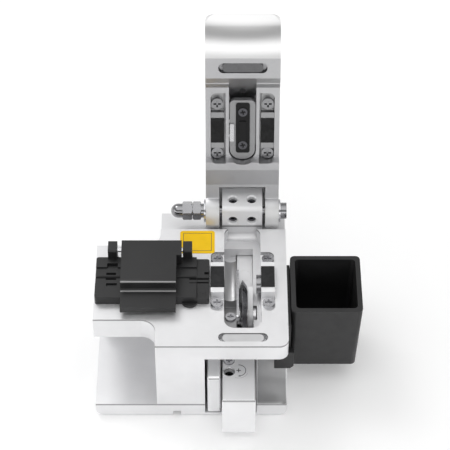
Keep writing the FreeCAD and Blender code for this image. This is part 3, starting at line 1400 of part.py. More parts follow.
def build_bin():
    """Open scrap bin with one drafted side, and the bracket that carries it."""
    outer = tapered("bin_outer", bin_section("0", "bin_round", "bin_draft"),
                    bin_section("0", "bin_round", "0"), ("bin_bottom", "bin_top"))
    inner = tapered("bin_inner", bin_section("bin_wall", "bin_round * 0.8", "bin_draft"),
                    bin_section("bin_wall", "bin_round * 0.8", "0"),
                    ("bin_bottom + bin_wall", "bin_top + 0.01"))
    keep("scrap_bin", cut("bin_solid", outer, inner))
    strip = box("bracket_strip", (HALF, BIN_LEFT + " - bracket_gap"), ("foot_rear", "bracket_rear"),
                ("bracket_bottom", "bracket_top"))
    shelf = box("bracket_shelf", (HALF, BIN_LEFT + " + bracket_shelf_reach"),
                ("bin_front + 2", "bracket_rear"),
                ("bracket_bottom", "bin_bottom"))
    foot = prism("bracket_foot", "XZ_Plane", [
        (HALF + " - foot_left", "foot_bottom"),
        (HALF + " + foot_right - foot_chamfer", "foot_bottom"),
        (HALF + " + foot_right", "foot_bottom + foot_chamfer"),
        (HALF + " + foot_right", "foot_top"),
        (HALF + " - foot_left", "foot_top"),
    ], ("foot_front", "foot_rear"))
    keep("bin_bracket", fuse("bracket_solid", strip, shelf, foot))


build_frame()
build_sole()
build_deck_magnet()
build_lower_clamps()
build_rail()
build_bearing()
build_slide()
build_carrier()
build_stop_disc()
build_blade()
build_guard()
build_hinge_hardware()
build_set_screws()
build_lid()
build_upper_clamps()
build_anvil()
build_holder()
build_flap()
build_sticker()
build_bin()

doc.recompute()

for thing in doc.Objects:
    bad = [state for state in thing.State if state in ("Invalid", "Error")]
    if bad:
        raise RuntimeError("%s did not build: %s" % (thing.Name, bad))

for node, thing in parts.items():
    shape = thing.Shape
    if shape.isNull() or not shape.isValid() or not shape.Solids:
        raise RuntimeError("%s is not a sound solid" % node)
    shape.exportStep("parts/%s.step" % node)
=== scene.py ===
import json
import math

import bmesh
import bpy
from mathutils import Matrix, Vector


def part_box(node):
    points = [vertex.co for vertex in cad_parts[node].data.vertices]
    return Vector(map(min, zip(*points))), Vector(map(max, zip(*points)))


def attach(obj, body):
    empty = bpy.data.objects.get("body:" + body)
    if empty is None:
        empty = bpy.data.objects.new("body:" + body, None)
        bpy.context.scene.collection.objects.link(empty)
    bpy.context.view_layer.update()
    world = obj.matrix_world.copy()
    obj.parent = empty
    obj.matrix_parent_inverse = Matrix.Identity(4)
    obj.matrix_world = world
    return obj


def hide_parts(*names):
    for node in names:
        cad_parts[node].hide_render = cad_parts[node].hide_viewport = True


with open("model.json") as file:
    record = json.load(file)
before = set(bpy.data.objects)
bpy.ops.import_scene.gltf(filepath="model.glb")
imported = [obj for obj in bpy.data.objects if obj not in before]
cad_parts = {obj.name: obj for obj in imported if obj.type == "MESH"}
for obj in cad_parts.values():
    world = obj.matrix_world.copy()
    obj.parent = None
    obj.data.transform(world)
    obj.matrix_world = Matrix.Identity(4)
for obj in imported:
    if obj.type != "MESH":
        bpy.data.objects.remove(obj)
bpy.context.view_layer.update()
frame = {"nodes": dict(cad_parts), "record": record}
NODES = frame["nodes"]

MM = 0.001


def box_in_mm(name):
    """Lowest and highest corners of a node at rest, in millimetres."""
    return [[value / MM for value in corner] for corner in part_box(name)]


def middle(values):
    return (min(values) + max(values)) / 2


# Camera, solved from the straight edges of the body in the photograph

CAMERA_PLACE = (11.151 * MM, -408.193 * MM, 494.515 * MM)
CAMERA_DOWN = 46.873          # degrees below the horizon
CAMERA_LENS = 149.07          # millimetres
SENSOR_WIDTH = 36.0           # millimetres
CAMERA_NEAR = 0.01


def add_camera():
    data = bpy.data.cameras.new("photo_camera")
    data.lens = CAMERA_LENS
    data.sensor_width = SENSOR_WIDTH
    data.clip_start = CAMERA_NEAR
    camera = bpy.data.objects.new("photo_camera", data)
    camera.location = CAMERA_PLACE
    camera.rotation_euler = (math.radians(90 - CAMERA_DOWN), 0, 0)
    bpy.context.scene.collection.objects.link(camera)
    bpy.context.scene.camera = camera


# Shader helpers, shared by the studio and the materials

MIX_FACTOR = 0
MIX_INPUTS = {"FLOAT": (2, 3), "RGBA": (6, 7)}
MIX_OUTPUT = {"FLOAT": 0, "RGBA": 2}


def connect(tree, source, target):
    """Feed a socket from another socket or with a plain value."""
    if isinstance(source, bpy.types.NodeSocket):
        tree.links.new(source, target)
    else:
        target.default_value = source


def mixed(tree, kind, factor, first, second, blend="MIX"):
    """Mix of two colours or two numbers, each a socket or a plain value."""
    node = tree.nodes.new("ShaderNodeMix")
    node.data_type = kind
    node.blend_type = blend
    connect(tree, factor, node.inputs[MIX_FACTOR])
    for source, index in zip((first, second), MIX_INPUTS[kind]):
        connect(tree, source, node.inputs[index])
    return node.outputs[MIX_OUTPUT[kind]]


def smooth_step(tree, value, low, high, start=0.0, end=1.0):
    """Number that eases from a start to an end while a value goes from low to high."""
    node = tree.nodes.new("ShaderNodeMapRange")
    node.interpolation_type = "SMOOTHSTEP"
    connect(tree, value, node.inputs["Value"])
    node.inputs["From Min"].default_value = low
    node.inputs["From Max"].default_value = high
    node.inputs["To Min"].default_value = start
    node.inputs["To Max"].default_value = end
    return node.outputs["Result"]


def split_axes(tree, vector):
    node = tree.nodes.new("ShaderNodeSeparateXYZ")
    connect(tree, vector, node.inputs["Vector"])
    return [node.outputs[axis] for axis in "XYZ"]


def rgba(value):
    """Opaque colour from three channels or from one grey."""
    channels = tuple(value) if isinstance(value, (tuple, list)) else (value,) * 3
    return channels + (1,)


# Studio: one soft panel behind the object, a white tent around it and white paper under it

KEY_PLACE = (-0.35, 0.40, 0.75)
KEY_TARGET = (0.005, 0.0, 0.03)
KEY_SIDE = 0.35
KEY_WATTS = 1.7

# Brightness of the tent by the sine of the height above the horizon, as (sine, brightness)
TENT_BEHIND = ((0.0, 1.05), (0.50, 0.80), (0.80, 0.72), (0.92, 1.80))
TENT_BEFORE = ((0.0, 0.70), (0.10, 0.75), (0.17, 2.60), (0.44, 2.60),
               (0.56, 0.24), (0.74, 0.24), (0.88, 2.20))
TENT_PEAK = 3.0
TENT_STRENGTH = 0.68
TENT_TURN = 0.3               # the blend from front to back reaches this far each way along Y

FLOOR_REACH = 3.0
FLOOR_WHITE = 0.95
FLOOR_ROUGH = 0.9
FLOOR_GLOW = 0.10             # light table under the paper


def add_key_panel():
    data = bpy.data.lights.new("key_panel", "AREA")
    data.shape = "SQUARE"
    data.size = KEY_SIDE
    data.energy = KEY_WATTS
    panel = bpy.data.objects.new("key_panel", data)
    panel.location = KEY_PLACE
    aim = Vector(KEY_TARGET) - Vector(KEY_PLACE)
    panel.rotation_euler = aim.to_track_quat("-Z", "Y").to_euler()
    bpy.context.scene.collection.objects.link(panel)


def tent_ramp(tree, height, stops):
    node = tree.nodes.new("ShaderNodeValToRGB")
    elements = node.color_ramp.elements
    while len(elements) < len(stops):
        elements.new(1.0)
    for element, (place, level) in zip(elements, stops):
        element.position = place
        element.color = rgba(level / TENT_PEAK)
    connect(tree, height, node.inputs["Fac"])
    return node.outputs["Color"]


def add_tent():
    """White tent: a soft box before the object, a brighter roof and an even back."""
    world = bpy.data.worlds.new("studio")
    world.use_nodes = True
    tree = world.node_tree
    direction = tree.nodes.new("ShaderNodeTexCoord").outputs["Generated"]
    y, z = split_axes(tree, direction)[1:]
    behind = smooth_step(tree, y, -TENT_TURN, TENT_TURN)
    light = mixed(tree, "RGBA", behind, tent_ramp(tree, z, TENT_BEFORE), tent_ramp(tree, z, TENT_BEHIND))
    background = tree.nodes["Background"]
    connect(tree, light, background.inputs["Color"])
    background.inputs["Strength"].default_value = TENT_PEAK * TENT_STRENGTH
    bpy.context.scene.world = world


def add_floor():
    mesh = bpy.data.meshes.new("floor")
    corners = [(x * FLOOR_REACH, y * FLOOR_REACH, 0) for x, y in ((-1, -1), (1, -1), (1, 1), (-1, 1))]
    mesh.from_pydata(corners, [], [(0, 1, 2, 3)])
    floor = bpy.data.objects.new("floor", mesh)
    bpy.context.scene.collection.objects.link(floor)
    paper = bpy.data.materials.new("floor_paper")
    paper.use_nodes = True
    shader = paper.node_tree.nodes["Principled BSDF"]
    shader.inputs["Base Color"].default_value = rgba(FLOOR_WHITE)
    shader.inputs["Roughness"].default_value = FLOOR_ROUGH
    shader.inputs["Emission Color"].default_value = rgba(1)
    shader.inputs["Emission Strength"].default_value = FLOOR_GLOW
    mesh.materials.append(paper)


# Materials: four kinds of surface, and the painted shade and painted highlights of single pieces on top of
# them

NOISE_SPAN = (0.3, 0.7)       # noise values at which a surface has its first and its second look
EVEN = (1, 1, 1)
DRAWN = (1, 8, 1)             # grain of drawn steel, eight times finer along Y
LINE_FADE = 0.02 * MM
EDGE_SHADE_TONE = 0.42


class Finish:
    """A material with its own small node graph, built step by step."""

    def __init__(self, name):
        self.material = bpy.data.materials.new(name)
        self.material.use_nodes = True
        self.tree = self.material.node_tree
        self.shader = self.tree.nodes["Principled BSDF"]
        self.coords = self.tree.nodes.new("ShaderNodeTexCoord").outputs["Object"]

    def set(self, name, value):
        """One value for the whole surface."""
        self.shader.inputs[name].default_value = value

    def noise(self, scale, detail, stretch=EVEN):
        mapping = self.tree.nodes.new("ShaderNodeMapping")
        mapping.inputs["Scale"].default_value = stretch
        connect(self.tree, self.coords, mapping.inputs["Vector"])
        texture = self.tree.nodes.new("ShaderNodeTexNoise")
        texture.inputs["Scale"].default_value = scale
        texture.inputs["Detail"].default_value = detail
        connect(self.tree, mapping.outputs["Vector"], texture.inputs["Vector"])
        return texture.outputs["Fac"]

    def vary(self, name, low, high, **noise):
        """Let an input of the shader wander between two values."""
        node = self.tree.nodes.new("ShaderNodeValToRGB")
        for element, place, value in zip(node.color_ramp.elements, NOISE_SPAN, (low, high)):
            element.position = place
            element.color = rgba(value)
        connect(self.tree, self.noise(**noise), node.inputs["Fac"])
        connect(self.tree, node.outputs["Color"], self.shader.inputs[name])

    def cloud(self, colour, darkest, palest, **noise):
        """Base colour that wanders between two shades."""
        shades = [tuple(min(1.0, channel * amount) for channel in colour) for amount in (darkest, palest)]
        self.vary("Base Color", *shades, **noise)

    def bump(self, strength, depth, **noise):
        node = self.tree.nodes.new("ShaderNodeBump")
        node.inputs["Strength"].default_value = strength
        node.inputs["Distance"].default_value = depth
        connect(self.tree, self.noise(**noise), node.inputs["Height"])
        connect(self.tree, node.outputs["Normal"], self.shader.inputs["Normal"])

    def places(self):
        """The three coordinates of a point of the surface."""
        return split_axes(self.tree, self.coords)

    def calc(self, operation, *values):
        """Result of one operation on sockets and plain numbers."""
        node = self.tree.nodes.new("ShaderNodeMath")
        node.operation = operation
        for value, socket in zip(values, node.inputs):
            connect(self.tree, value, socket)
        return node.outputs["Value"]

    def times(self, first, second):
        return self.calc("MULTIPLY", first, second)

    def distance(self, values, place):
        """Distance of two coordinates from a place in their plane."""
        squares = []
        for value, centre in zip(values, place):
            offset = self.calc("SUBTRACT", value, centre)
            squares.append(self.times(offset, offset))
        return self.calc("SQRT", self.calc("ADD", *squares))

    def step(self, value, start, rise):
        """Factor that goes from 0 at a place to 1 a signed distance further on."""
        if rise > 0:
            return smooth_step(self.tree, value, start, start + rise)
        return smooth_step(self.tree, value, start + rise, start, 1.0, 0.0)

    def within(self, value, low, high, soft):
        """Factor that is 1 between two places, fades near both and is 0 outside."""
        return self.times(self.step(value, low, soft), self.step(value, high, -soft))

    def blend(self, name, factor, value, how="MIX"):
        """Blend an input of the shader with a value where a factor is high."""
        socket = self.shader.inputs[name]
        before = socket.links[0].from_socket if socket.links else socket.default_value
        kind = "RGBA" if socket.type == "RGBA" else "FLOAT"
        connect(self.tree, mixed(self.tree, kind, factor, before, value, how), socket)

    def darken(self, factor, tone):
        """Multiply the base colour by a grey where a factor is high."""
        self.blend("Base Color", factor, rgba(tone), "MULTIPLY")

    def whiten(self, factor, tone):
        """Bring the base colour to a grey where a factor is high."""
        self.blend("Base Color", factor, rgba(tone))

    def edge_shade_line(self, height, top, reach):
        """Painted shade line on the walls just below an edge at a height."""
        self.darken(self.within(height, top - reach, top - LINE_FADE, LINE_FADE), EDGE_SHADE_TONE)


def worn_metal(made, colour, rough, grain=1.0, stretch=EVEN, metallic=1.0):
    """Satin metal: fine grain, faint cloudiness and slightly uneven gloss."""
    made.set("Metallic", metallic)
    made.cloud(colour, 0.94, 1.03, scale=60, detail=4)
    made.vary("Roughness", max(0.05, rough - 0.06), rough + 0.07, scale=420, detail=3, stretch=stretch)
    made.bump(0.18 * grain, 0.04 * MM, scale=2600, detail=2, stretch=stretch)


def moulded_black(made, colour, rough, grain_scale, grain, shine=0.5):
    """Black moulded plastic with a fine cast grain and paler worn patches."""
    made.set("Specular IOR Level", shine)
    made.cloud(colour, 0.85, 1.25, scale=90, detail=4)
    made.vary("Roughness", rough - 0.06, rough + 0.08, scale=300, detail=3)
    made.bump(grain, 0.05 * MM, scale=grain_scale, detail=2)


def rubber(made, colour):
    """Dull soft black with a coarse grain."""
    made.set("Specular IOR Level", 0.35)
    made.cloud(colour, 0.7, 1.4, scale=240, detail=4)
    made.vary("Roughness", 0.62, 0.85, scale=800, detail=2)
    made.bump(0.4, 0.06 * MM, scale=3000, detail=2)


def sticker_film(made, colour):
    """Glossy film with faint mottling."""
    made.set("Specular IOR Level", 0.25)
    made.cloud(colour, 0.96, 1.03, scale=300, detail=3)
    made.vary("Roughness", 0.36, 0.5, scale=150, detail=2)
    made.bump(0.08, 0.04 * MM, scale=900, detail=2)


METALS = {
    "frame_aluminium": dict(colour=(0.82, 0.82, 0.83), rough=0.45, grain=1.2, metallic=0.65),
    "slide_aluminium": dict(colour=(0.82, 0.82, 0.83), rough=0.42, grain=0.9, metallic=0.12),
    "bearing_aluminium": dict(colour=(0.82, 0.82, 0.83), rough=0.42, grain=0.9, metallic=0.12),
    "insert_aluminium": dict(colour=(0.93, 0.93, 0.94), rough=0.42, grain=0.9, metallic=0.25),
    "lid_aluminium": dict(colour=(0.53, 0.53, 0.54), rough=0.40),
    "edge_bright": dict(colour=(0.80, 0.80, 0.81), rough=0.16, grain=0.4),
    "clamp_steel": dict(colour=(0.37, 0.37, 0.375), rough=0.34, grain=0.8),
    # paler copy of the clamp steel: painted light for the lit lower seats
    "seat_steel_lit": dict(colour=(0.92, 0.92, 0.93), rough=0.4, grain=0.8, metallic=0.45),
    "carrier_metal": dict(colour=(0.33, 0.33, 0.335), rough=0.36, grain=0.9, metallic=0.55),
    "bright_steel": dict(colour=(0.80, 0.80, 0.82), rough=0.22, grain=0.7, stretch=DRAWN),
    "side_steel": dict(colour=(0.66, 0.66, 0.67), rough=0.28, grain=0.6, stretch=DRAWN),
    "dark_steel": dict(colour=(0.12, 0.12, 0.13), rough=0.38),
    "screw_steel": dict(colour=(0.62, 0.62, 0.64), rough=0.22, grain=0.6),
    "nut_steel": dict(colour=(0.31, 0.31, 0.32), rough=0.20, grain=0.12),
    "blade_dark": dict(colour=(0.20, 0.20, 0.21), rough=0.25, grain=0.6),
    "magnet_nickel": dict(colour=(0.68, 0.68, 0.69), rough=0.34, grain=0.05, metallic=0.6),
    "nickel_in_shade": dict(colour=(0.17, 0.17, 0.175), rough=0.2, grain=0.3),
    "bush_brass": dict(colour=(0.80, 0.62, 0.30), rough=0.3),
    "faint_marking": dict(colour=(0.52, 0.52, 0.53), rough=0.4, grain=0.5, metallic=0.5),
}
PLASTICS = {
    "holder_black": dict(colour=(0.012, 0.012, 0.0125), rough=0.42, grain_scale=2200, grain=0.3),
    "flap_black": dict(colour=(0.011, 0.011, 0.0115), rough=0.42, grain_scale=2200, grain=0.3),
    "bin_black": dict(colour=(0.012, 0.012, 0.0125), rough=0.42, grain_scale=1700, grain=0.35),
    "anvil_black": dict(colour=(0.006, 0.006, 0.0065), rough=0.35, grain_scale=2600, grain=0.15, shine=0.25),
    "groove_shade_black": dict(colour=(0.002, 0.002, 0.002), rough=0.6, grain_scale=2600, grain=0.1, shine=0.05),
    "marking_ink": dict(colour=(0.05, 0.05, 0.052), rough=0.5, grain_scale=2600, grain=0.1),
}
RUBBERS = {
    "pad_rubber": dict(colour=(0.018, 0.018, 0.019)),
    # darker copy of the pad rubber: painted shade for the upper pads inside the lid
    "pad_rubber_in_shade": dict(colour=(0.009, 0.009, 0.0095)),
    "sole_rubber": dict(colour=(0.03, 0.03, 0.03)),
}
FILMS = {
    "sticker_yellow": dict(colour=(0.90, 0.56, 0.004)),
}
KINDS = ((worn_metal, METALS), (moulded_black, PLASTICS), (rubber, RUBBERS), (sticker_film, FILMS))

# Nodes that look different from the others of their slot in this light
OWN_FINISH = {
    "hinge_bolt": "nut_steel",
    "hinge_acorn_nut": "nut_steel",
    "hinge_lock_nut": "nut_steel",
    "hinge_collar": "nut_steel",
    "eccentric_disc": "nut_steel",
    "clamp_screws_upper": "nut_steel",
    "blade_axle": "side_steel",
    "anvil_side_bar": "side_steel",
    "anvil_carrier": "carrier_metal",
    "height_set_screw": "anvil_black",
    "holder_flap": "flap_black",
    "bearing_block": "bearing_aluminium",
    "blade_carrier": "insert_aluminium",
    "lid_magnet": "nickel_in_shade",
    "clamp_seat_lower_left": "seat_steel_lit",
    "clamp_seat_lower_right": "seat_steel_lit",
    "clamp_pad_upper_left": "pad_rubber_in_shade",
    "clamp_pad_upper_right": "pad_rubber_in_shade",
}

# Painted shade lines below the top edges of the frame and of the sliding blocks
DECK_TOP = 36.0 * MM
BASE_TOP = 6.1 * MM
FRAME_SHADE_REACH = 0.75 * MM
SLIDE_SHADE_REACH = 1.05 * MM

# Painted shade inside the finger scoop of the frame
SCOOP_LEFT = 21.75 * MM       # right wall of the slide channel
SCOOP_BACK = 12.0 * MM        # behind the scoop, before the rear wall
SCOOP_BOTTOM = 6.02 * MM
SCOOP_TOP = 29.2 * MM
SCOOP_SOFT = 0.15 * MM
SCOOP_SHADE_TONE = 0.42

# Hinge knuckle of the frame, above the deck
KNUCKLE_FADE = 0.3 * MM
KNUCKLE_METALLIC = 0.12

# Rolled tip of the lid with its painted highlight, and hinge ears of the lid
TIP_HEIGHT = 11.2 * MM
TIP_FADE = 0.5 * MM
TIP_ROUGH = 0.31
TIP_HIGHLIGHT_TONE = 0.74
EAR_REACH = 6.0 * MM
EAR_FADE = 2.0 * MM
EAR_ROUGH = 0.62
EAR_TONE = 0.74

# Edges of the flap with a painted highlight, as (Y, Z), and how far the highlight is full and reaches
FLAP_HIGHLIGHT_EDGES = ((-11.0 * MM, 43.7 * MM), (-11.85 * MM, 40.02 * MM))
HIGHLIGHT_FULL = 0.16 * MM
HIGHLIGHT_REACH = 0.34 * MM
HIGHLIGHT_TONE = 0.30


def mark_frame(made):
    """Painted shade inside the finger scoop, painted shade lines below the top edges and a less metallic
    hinge knuckle.
    """
    low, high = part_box("base_frame")
    x, y, z = made.places()
    across = made.within(x, SCOOP_LEFT, high[0] - SCOOP_SOFT, SCOOP_SOFT)
    inward = made.within(y, low[1] + SCOOP_SOFT, SCOOP_BACK, SCOOP_SOFT)
    upward = made.within(z, SCOOP_BOTTOM, SCOOP_TOP, SCOOP_SOFT)
    # painted shade: darker colour inside the scoop
    made.darken(made.times(made.times(across, inward), upward), SCOOP_SHADE_TONE)
    for top in (DECK_TOP, BASE_TOP):
        made.edge_shade_line(z, top, FRAME_SHADE_REACH)
    at_knuckle = made.step(z, DECK_TOP + KNUCKLE_FADE, KNUCKLE_FADE)
    made.blend("Metallic", at_knuckle, KNUCKLE_METALLIC)


# Painted shade lines below the top edges of the slide and of the bearing block
def mark_slide(made):
    made.edge_shade_line(made.places()[2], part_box("slide_handle")[1][2], SLIDE_SHADE_REACH)


def mark_bearing(made):
    made.edge_shade_line(made.places()[2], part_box("bearing_block")[1][2], SLIDE_SHADE_REACH)


def mark_lid(made):
    """Smoother and with a painted highlight over the rolled tip, duller and paler over the hinge ears."""
    height = made.places()[2]
    at_tip = made.step(height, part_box("lid_arm")[1][2] - TIP_HEIGHT, TIP_FADE)
    made.blend("Roughness", at_tip, TIP_ROUGH)
    # painted highlight: paler colour over the rolled tip
    made.whiten(at_tip, TIP_HIGHLIGHT_TONE)
    hinge_height = middle([corner[2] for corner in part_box("hinge_bolt")])
    at_ears = made.step(height, hinge_height + EAR_REACH, -EAR_FADE)
    made.blend("Roughness", at_ears, EAR_ROUGH)
    made.whiten(at_ears, EAR_TONE)


def paint_flap_highlights(made):
    """Painted highlights along the front edge and at the root of the tab."""
    plane = made.places()[1:]
    for edge in FLAP_HIGHLIGHT_EDGES:
        far = made.distance(plane, edge)
        made.whiten(made.step(far, HIGHLIGHT_REACH, HIGHLIGHT_FULL - HIGHLIGHT_REACH), HIGHLIGHT_TONE)


MARKS = {
    "frame_aluminium": mark_frame,
    "slide_aluminium": mark_slide,
    "bearing_aluminium": mark_bearing,
    "lid_aluminium": mark_lid,
    "flap_black": paint_flap_highlights,
}
MADE = {}


def finish_named(name):
    """Material of a name, made at its first use."""
    if name not in MADE:
        made = Finish(name)
        for surface, table in KINDS:
            if name in table:
                surface(made, **table[name])
        if name in MARKS:
            MARKS[name](made)
        MADE[name] = made.material
    return MADE[name]


def dress_nodes():
    """Give every CAD node the material of its slot or its own one."""
    for entry in frame["record"]["subparts"]:
        name = entry["node"]
        materials = NODES[name].data.materials
        materials.clear()
        materials.append(finish_named(OWN_FINISH.get(name, entry["material_slot"])))


# Edges: rounds in millimetres, and bright chamfers on the frame and the sliding blocks

EDGE_ROUND = {
    "base_frame": 0.34,
    "slide_handle": 0.70,
    "bearing_block": 0.70,
    "lid_arm": 0.28,
    "holder_base": 0.25,
    "holder_flap": 0.40,
    "scrap_bin": 0.35,
    "blade_guard": 0.15,
    "blade_carrier": 0.15,
    "guard_strip": 0.08,
    "anvil_side_bar": 0.10,
    "anvil_carrier": 0.16,
    "deck_magnet": 0.12,
    "lid_magnet": 0.12,
}
SEAT_ROUND = 0.16
PAD_ROUND = 0.14
for corner in ("lower_left", "lower_right", "upper_left", "upper_right"):
    EDGE_ROUND["clamp_seat_" + corner] = SEAT_ROUND
    EDGE_ROUND["clamp_pad_" + corner] = PAD_ROUND
BRIGHT_EDGED = ("base_frame", "slide_handle", "bearing_block")

SHARP_ANGLE = math.radians(28)
FLAT_ANGLE = math.radians(0.6)
WELD_REACH = 0.002 * MM
ROUND_SEGMENTS = 2
OWN_MATERIAL = -1
SECOND_MATERIAL = 1


def soften_edges():
    for name, width in EDGE_ROUND.items():
        node = NODES[name]
        weld = node.modifiers.new("weld", "WELD")
        weld.merge_threshold = WELD_REACH
        if name in BRIGHT_EDGED:
            add_bright_edges(node, width)
        else:
            add_bevel(node, "edge_round", width, OWN_MATERIAL)


def add_bright_edges(node, width):
    """Chamfers in a brighter finish, on flats that are joined first."""
    join = node.modifiers.new("join_flats", "DECIMATE")
    join.decimate_type = "DISSOLVE"
    join.angle_limit = FLAT_ANGLE
    node.data.materials.append(finish_named("edge_bright"))
    add_bevel(node, "chamfer", width, SECOND_MATERIAL)
    split = node.modifiers.new("crisp", "EDGE_SPLIT")
    split.split_angle = SHARP_ANGLE


def add_bevel(node, name, width, material):
    bevel = node.modifiers.new(name, "BEVEL")
    bevel.width = width * MM
    bevel.segments = ROUND_SEGMENTS
    bevel.material = material
    bevel.limit_method = "ANGLE"
    bevel.angle_limit = SHARP_ANGLE
    bevel.use_clamp_overlap = True
    bevel.miter_outer = "MITER_ARC"


# Outlines in millimetres, as lists of points in a plane

def arc(centre, radius, start, end, steps):
    """Points of an arc between two angles in degrees, with both ends."""
    points = []
    for step in range(steps + 1):
        angle = math.radians(start + (end - start) * step / steps)
        points.append((centre[0] + radius * math.cos(angle), centre[1] + radius * math.sin(angle)))
    return points


def circle(centre, radius, steps):
    return arc(centre, radius, 0, 360, steps)[:-1]


def rectangle(left, low, right, high):
    return [(left, low), (right, low), (right, high), (left, high)]


def plus_outline(reach, half):
    """Corners of a plus sign about its own centre."""
    return [(-half, -reach), (half, -reach), (half, -half), (reach, -half), (reach, half), (half, half),
            (half, reach), (-half, reach), (-half, half), (-reach, half), (-reach, -half), (-half, -half)]


def around(centre, points, degrees=0.0):
    """Points moved from the origin to a centre, and turned about it."""
    sine, cosine = math.sin(math.radians(degrees)), math.cos(math.radians(degrees))
    return [(centre[0] + x * cosine - y * sine, centre[1] + x * sine + y * cosine) for x, y in points]


# Solids from outlines, in three directions: two of the outline's plane, then the one across it

RIGHT, BACK, UP = Vector((1, 0, 0)), Vector((0, 1, 0)), Vector((0, 0, 1))
ACROSS_X = (BACK, UP, RIGHT)
ACROSS_Y = (RIGHT, UP, BACK)
ACROSS_Z = (RIGHT, BACK, UP)


def lid_directions():
    """Right, up along the lid, and inward, the way in which the anvil is pressed."""
    joints = frame["record"]["behaviour"]["joints"]
    axis = next(joint["axis"] for joint in joints if joint["name"] == "anvil_press")
    inward = Vector(axis).normalized()
    return RIGHT, RIGHT.cross(inward), inward


def lid_places(name):
    """Points of a node, in millimetres across, along and into the lid."""
    node = NODES[name]
    directions = lid_directions()
    points = [node.matrix_world @ vertex.co for vertex in node.data.vertices]
    return [tuple(point.dot(direction) / MM for direction in directions) for point in points]


def add_row(work, outline, depth, directions):
    """Points of an outline at a depth along the last direction."""
    first, second, third = directions
    return [work.verts.new((first * a + second * b + third * depth) * MM) for a, b in outline]


def add_wall(work, first, second):
    """Faces between two closed rows of as many points."""
    for index in range(len(first)):
        following = (index + 1) % len(first)
        work.faces.new((first[index], first[following], second[following], second[index]))


def add_solid(work, outline, span, directions):
    """Solid with one outline, between two depths."""
    rows = [add_row(work, outline, depth, directions) for depth in span]
    for row in rows:
        work.faces.new(row)
    add_wall(work, *rows)


INK_HEIGHT = 0.02
INK_SINK = 0.01


def add_ink(work, outline, face):
    """Thin print on a level face."""
    add_solid(work, outline, (face - INK_SINK, face + INK_HEIGHT), ACROSS_Z)


# Plugs over the two deep screws of the blade carrier

CARRIER_TOP = 26.5
PLUG_RADIUS = 1.97
PLUG_HEIGHT = 0.9
PLUG_SUNK = 0.03
PLUG_STEPS = 32


def build_plugs(work):
    low, high = box_in_mm("blade_carrier_screws")
    top = CARRIER_TOP - PLUG_SUNK
    x = middle((low[0], high[0]))
    reach = (high[0] - low[0]) / 2
    for y in (low[1] + reach, high[1] - reach):
        add_solid(work, circle((x, y), PLUG_RADIUS, PLUG_STEPS), (top - PLUG_HEIGHT, top), ACROSS_Z)


# Ledge over the room in which the axle head travels: left, front, right and back

LEDGE_EDGES = (20.42, -9.4, 21.6, 2.15)
LEDGE_TOP = 30.0
LEDGE_THICK = 0.07


def build_slot_ledge(work):
    add_solid(work, rectangle(*LEDGE_EDGES), (LEDGE_TOP - LEDGE_THICK, LEDGE_TOP), ACROSS_Z)


# Bracket of the scrap bin

BRACKET_TOP = 34.0
BRACKET_REAR = 5.0
FOOT_BOTTOM = 14.4
FOOT_TOP = 22.5
FOOT_RIGHT = 33.7
FOOT_CORNER = 1.2
FOOT_DEPTH = 2.1
STRIP_BACK = 8.0              # the strip reaches its full height this far behind the foot's front
STRIP_GAP = 0.1               # to the side of the bin
SHELF_GAP = 0.02              # to the bottom of the bin
SHELF_BACK = 2.0              # the shelf begins this far behind the bin's front


def build_bracket(work):
    """Foot in the finger scoop, strip beside the frame and shelf under the bin."""
    low, high = box_in_mm("bin_bracket")
    side = box_in_mm("base_frame")[1][0]
    bin_left, bin_front, bin_bottom = box_in_mm("scrap_bin")[0]
    front = low[1]
    foot_back = front + FOOT_DEPTH
    strip_front = front + STRIP_BACK
    strip = [(foot_back, FOOT_BOTTOM), (strip_front, FOOT_BOTTOM), (strip_front, low[2]),
             (BRACKET_REAR, low[2]), (BRACKET_REAR, BRACKET_TOP), (foot_back, BRACKET_TOP)]
    add_solid(work, strip, (side, bin_left - STRIP_GAP), ACROSS_X)
    shelf = rectangle(side, low[2], high[0], bin_bottom - SHELF_GAP)
    add_solid(work, shelf, (bin_front + SHELF_BACK, BRACKET_REAR), ACROSS_Y)
    foot = [(low[0], FOOT_BOTTOM), (FOOT_RIGHT - FOOT_CORNER, FOOT_BOTTOM),
            (FOOT_RIGHT, FOOT_BOTTOM + FOOT_CORNER), (FOOT_RIGHT, FOOT_TOP), (low[0], FOOT_TOP)]
    add_solid(work, foot, (front, foot_back), ACROSS_Y)


# Border of the sticker

BORDER_INSET = 1.05
BORDER_WIDTH = 0.16
BORDER_ROUND = 0.15
BORDER_STEPS = 6


def border_loop(inset):
    """Rectangle with small round corners, inside the edges of the sticker."""
    low, high = box_in_mm("label_plate")
    left, right = low[0] + inset + BORDER_ROUND, high[0] - inset - BORDER_ROUND
    front, back = low[1] + inset + BORDER_ROUND, high[1] - inset - BORDER_ROUND
    corners = (((right, back), 0), ((left, back), 90), ((left, front), 180), ((right, front), 270))
    points = []
    for centre, start in corners:
        points += arc(centre, BORDER_ROUND, start, start + 90, BORDER_STEPS)
    return points


def build_border(work):
    face = box_in_mm("label_plate")[1][2]
    outer, inner = border_loop(BORDER_INSET), border_loop(BORDER_INSET + BORDER_WIDTH)
    bottom, top = face - INK_SINK, face + INK_HEIGHT
    rows = [add_row(work, loop, height, ACROSS_Z)
            for loop, height in ((outer, bottom), (outer, top), (inner, top), (inner, bottom))]
    for first, second in zip(rows, rows[1:] + rows[:1]):
        add_wall(work, first, second)


# Marks on the slide: a plus sign, the arrow that turns around it and a fainter arc outside

MARK_CENTRE = (15.6, -28.2)
MARK_WIDTH = 0.2
MARK_STEPS = 28
PLUS_REACH = 0.75
PLUS_HALF = 0.14
ARROW_RADIUS = 2.3
ARROW_TURN = (-84, 92)
ARROW_HEAD = ((-0.25, 0.0), (0.55, -0.28), (0.55, 0.34))      # about the lowest point of its turn
OUTER_RADIUS = 3.15
OUTER_WIDTH = 0.12
OUTER_TURN = (-112, -22)


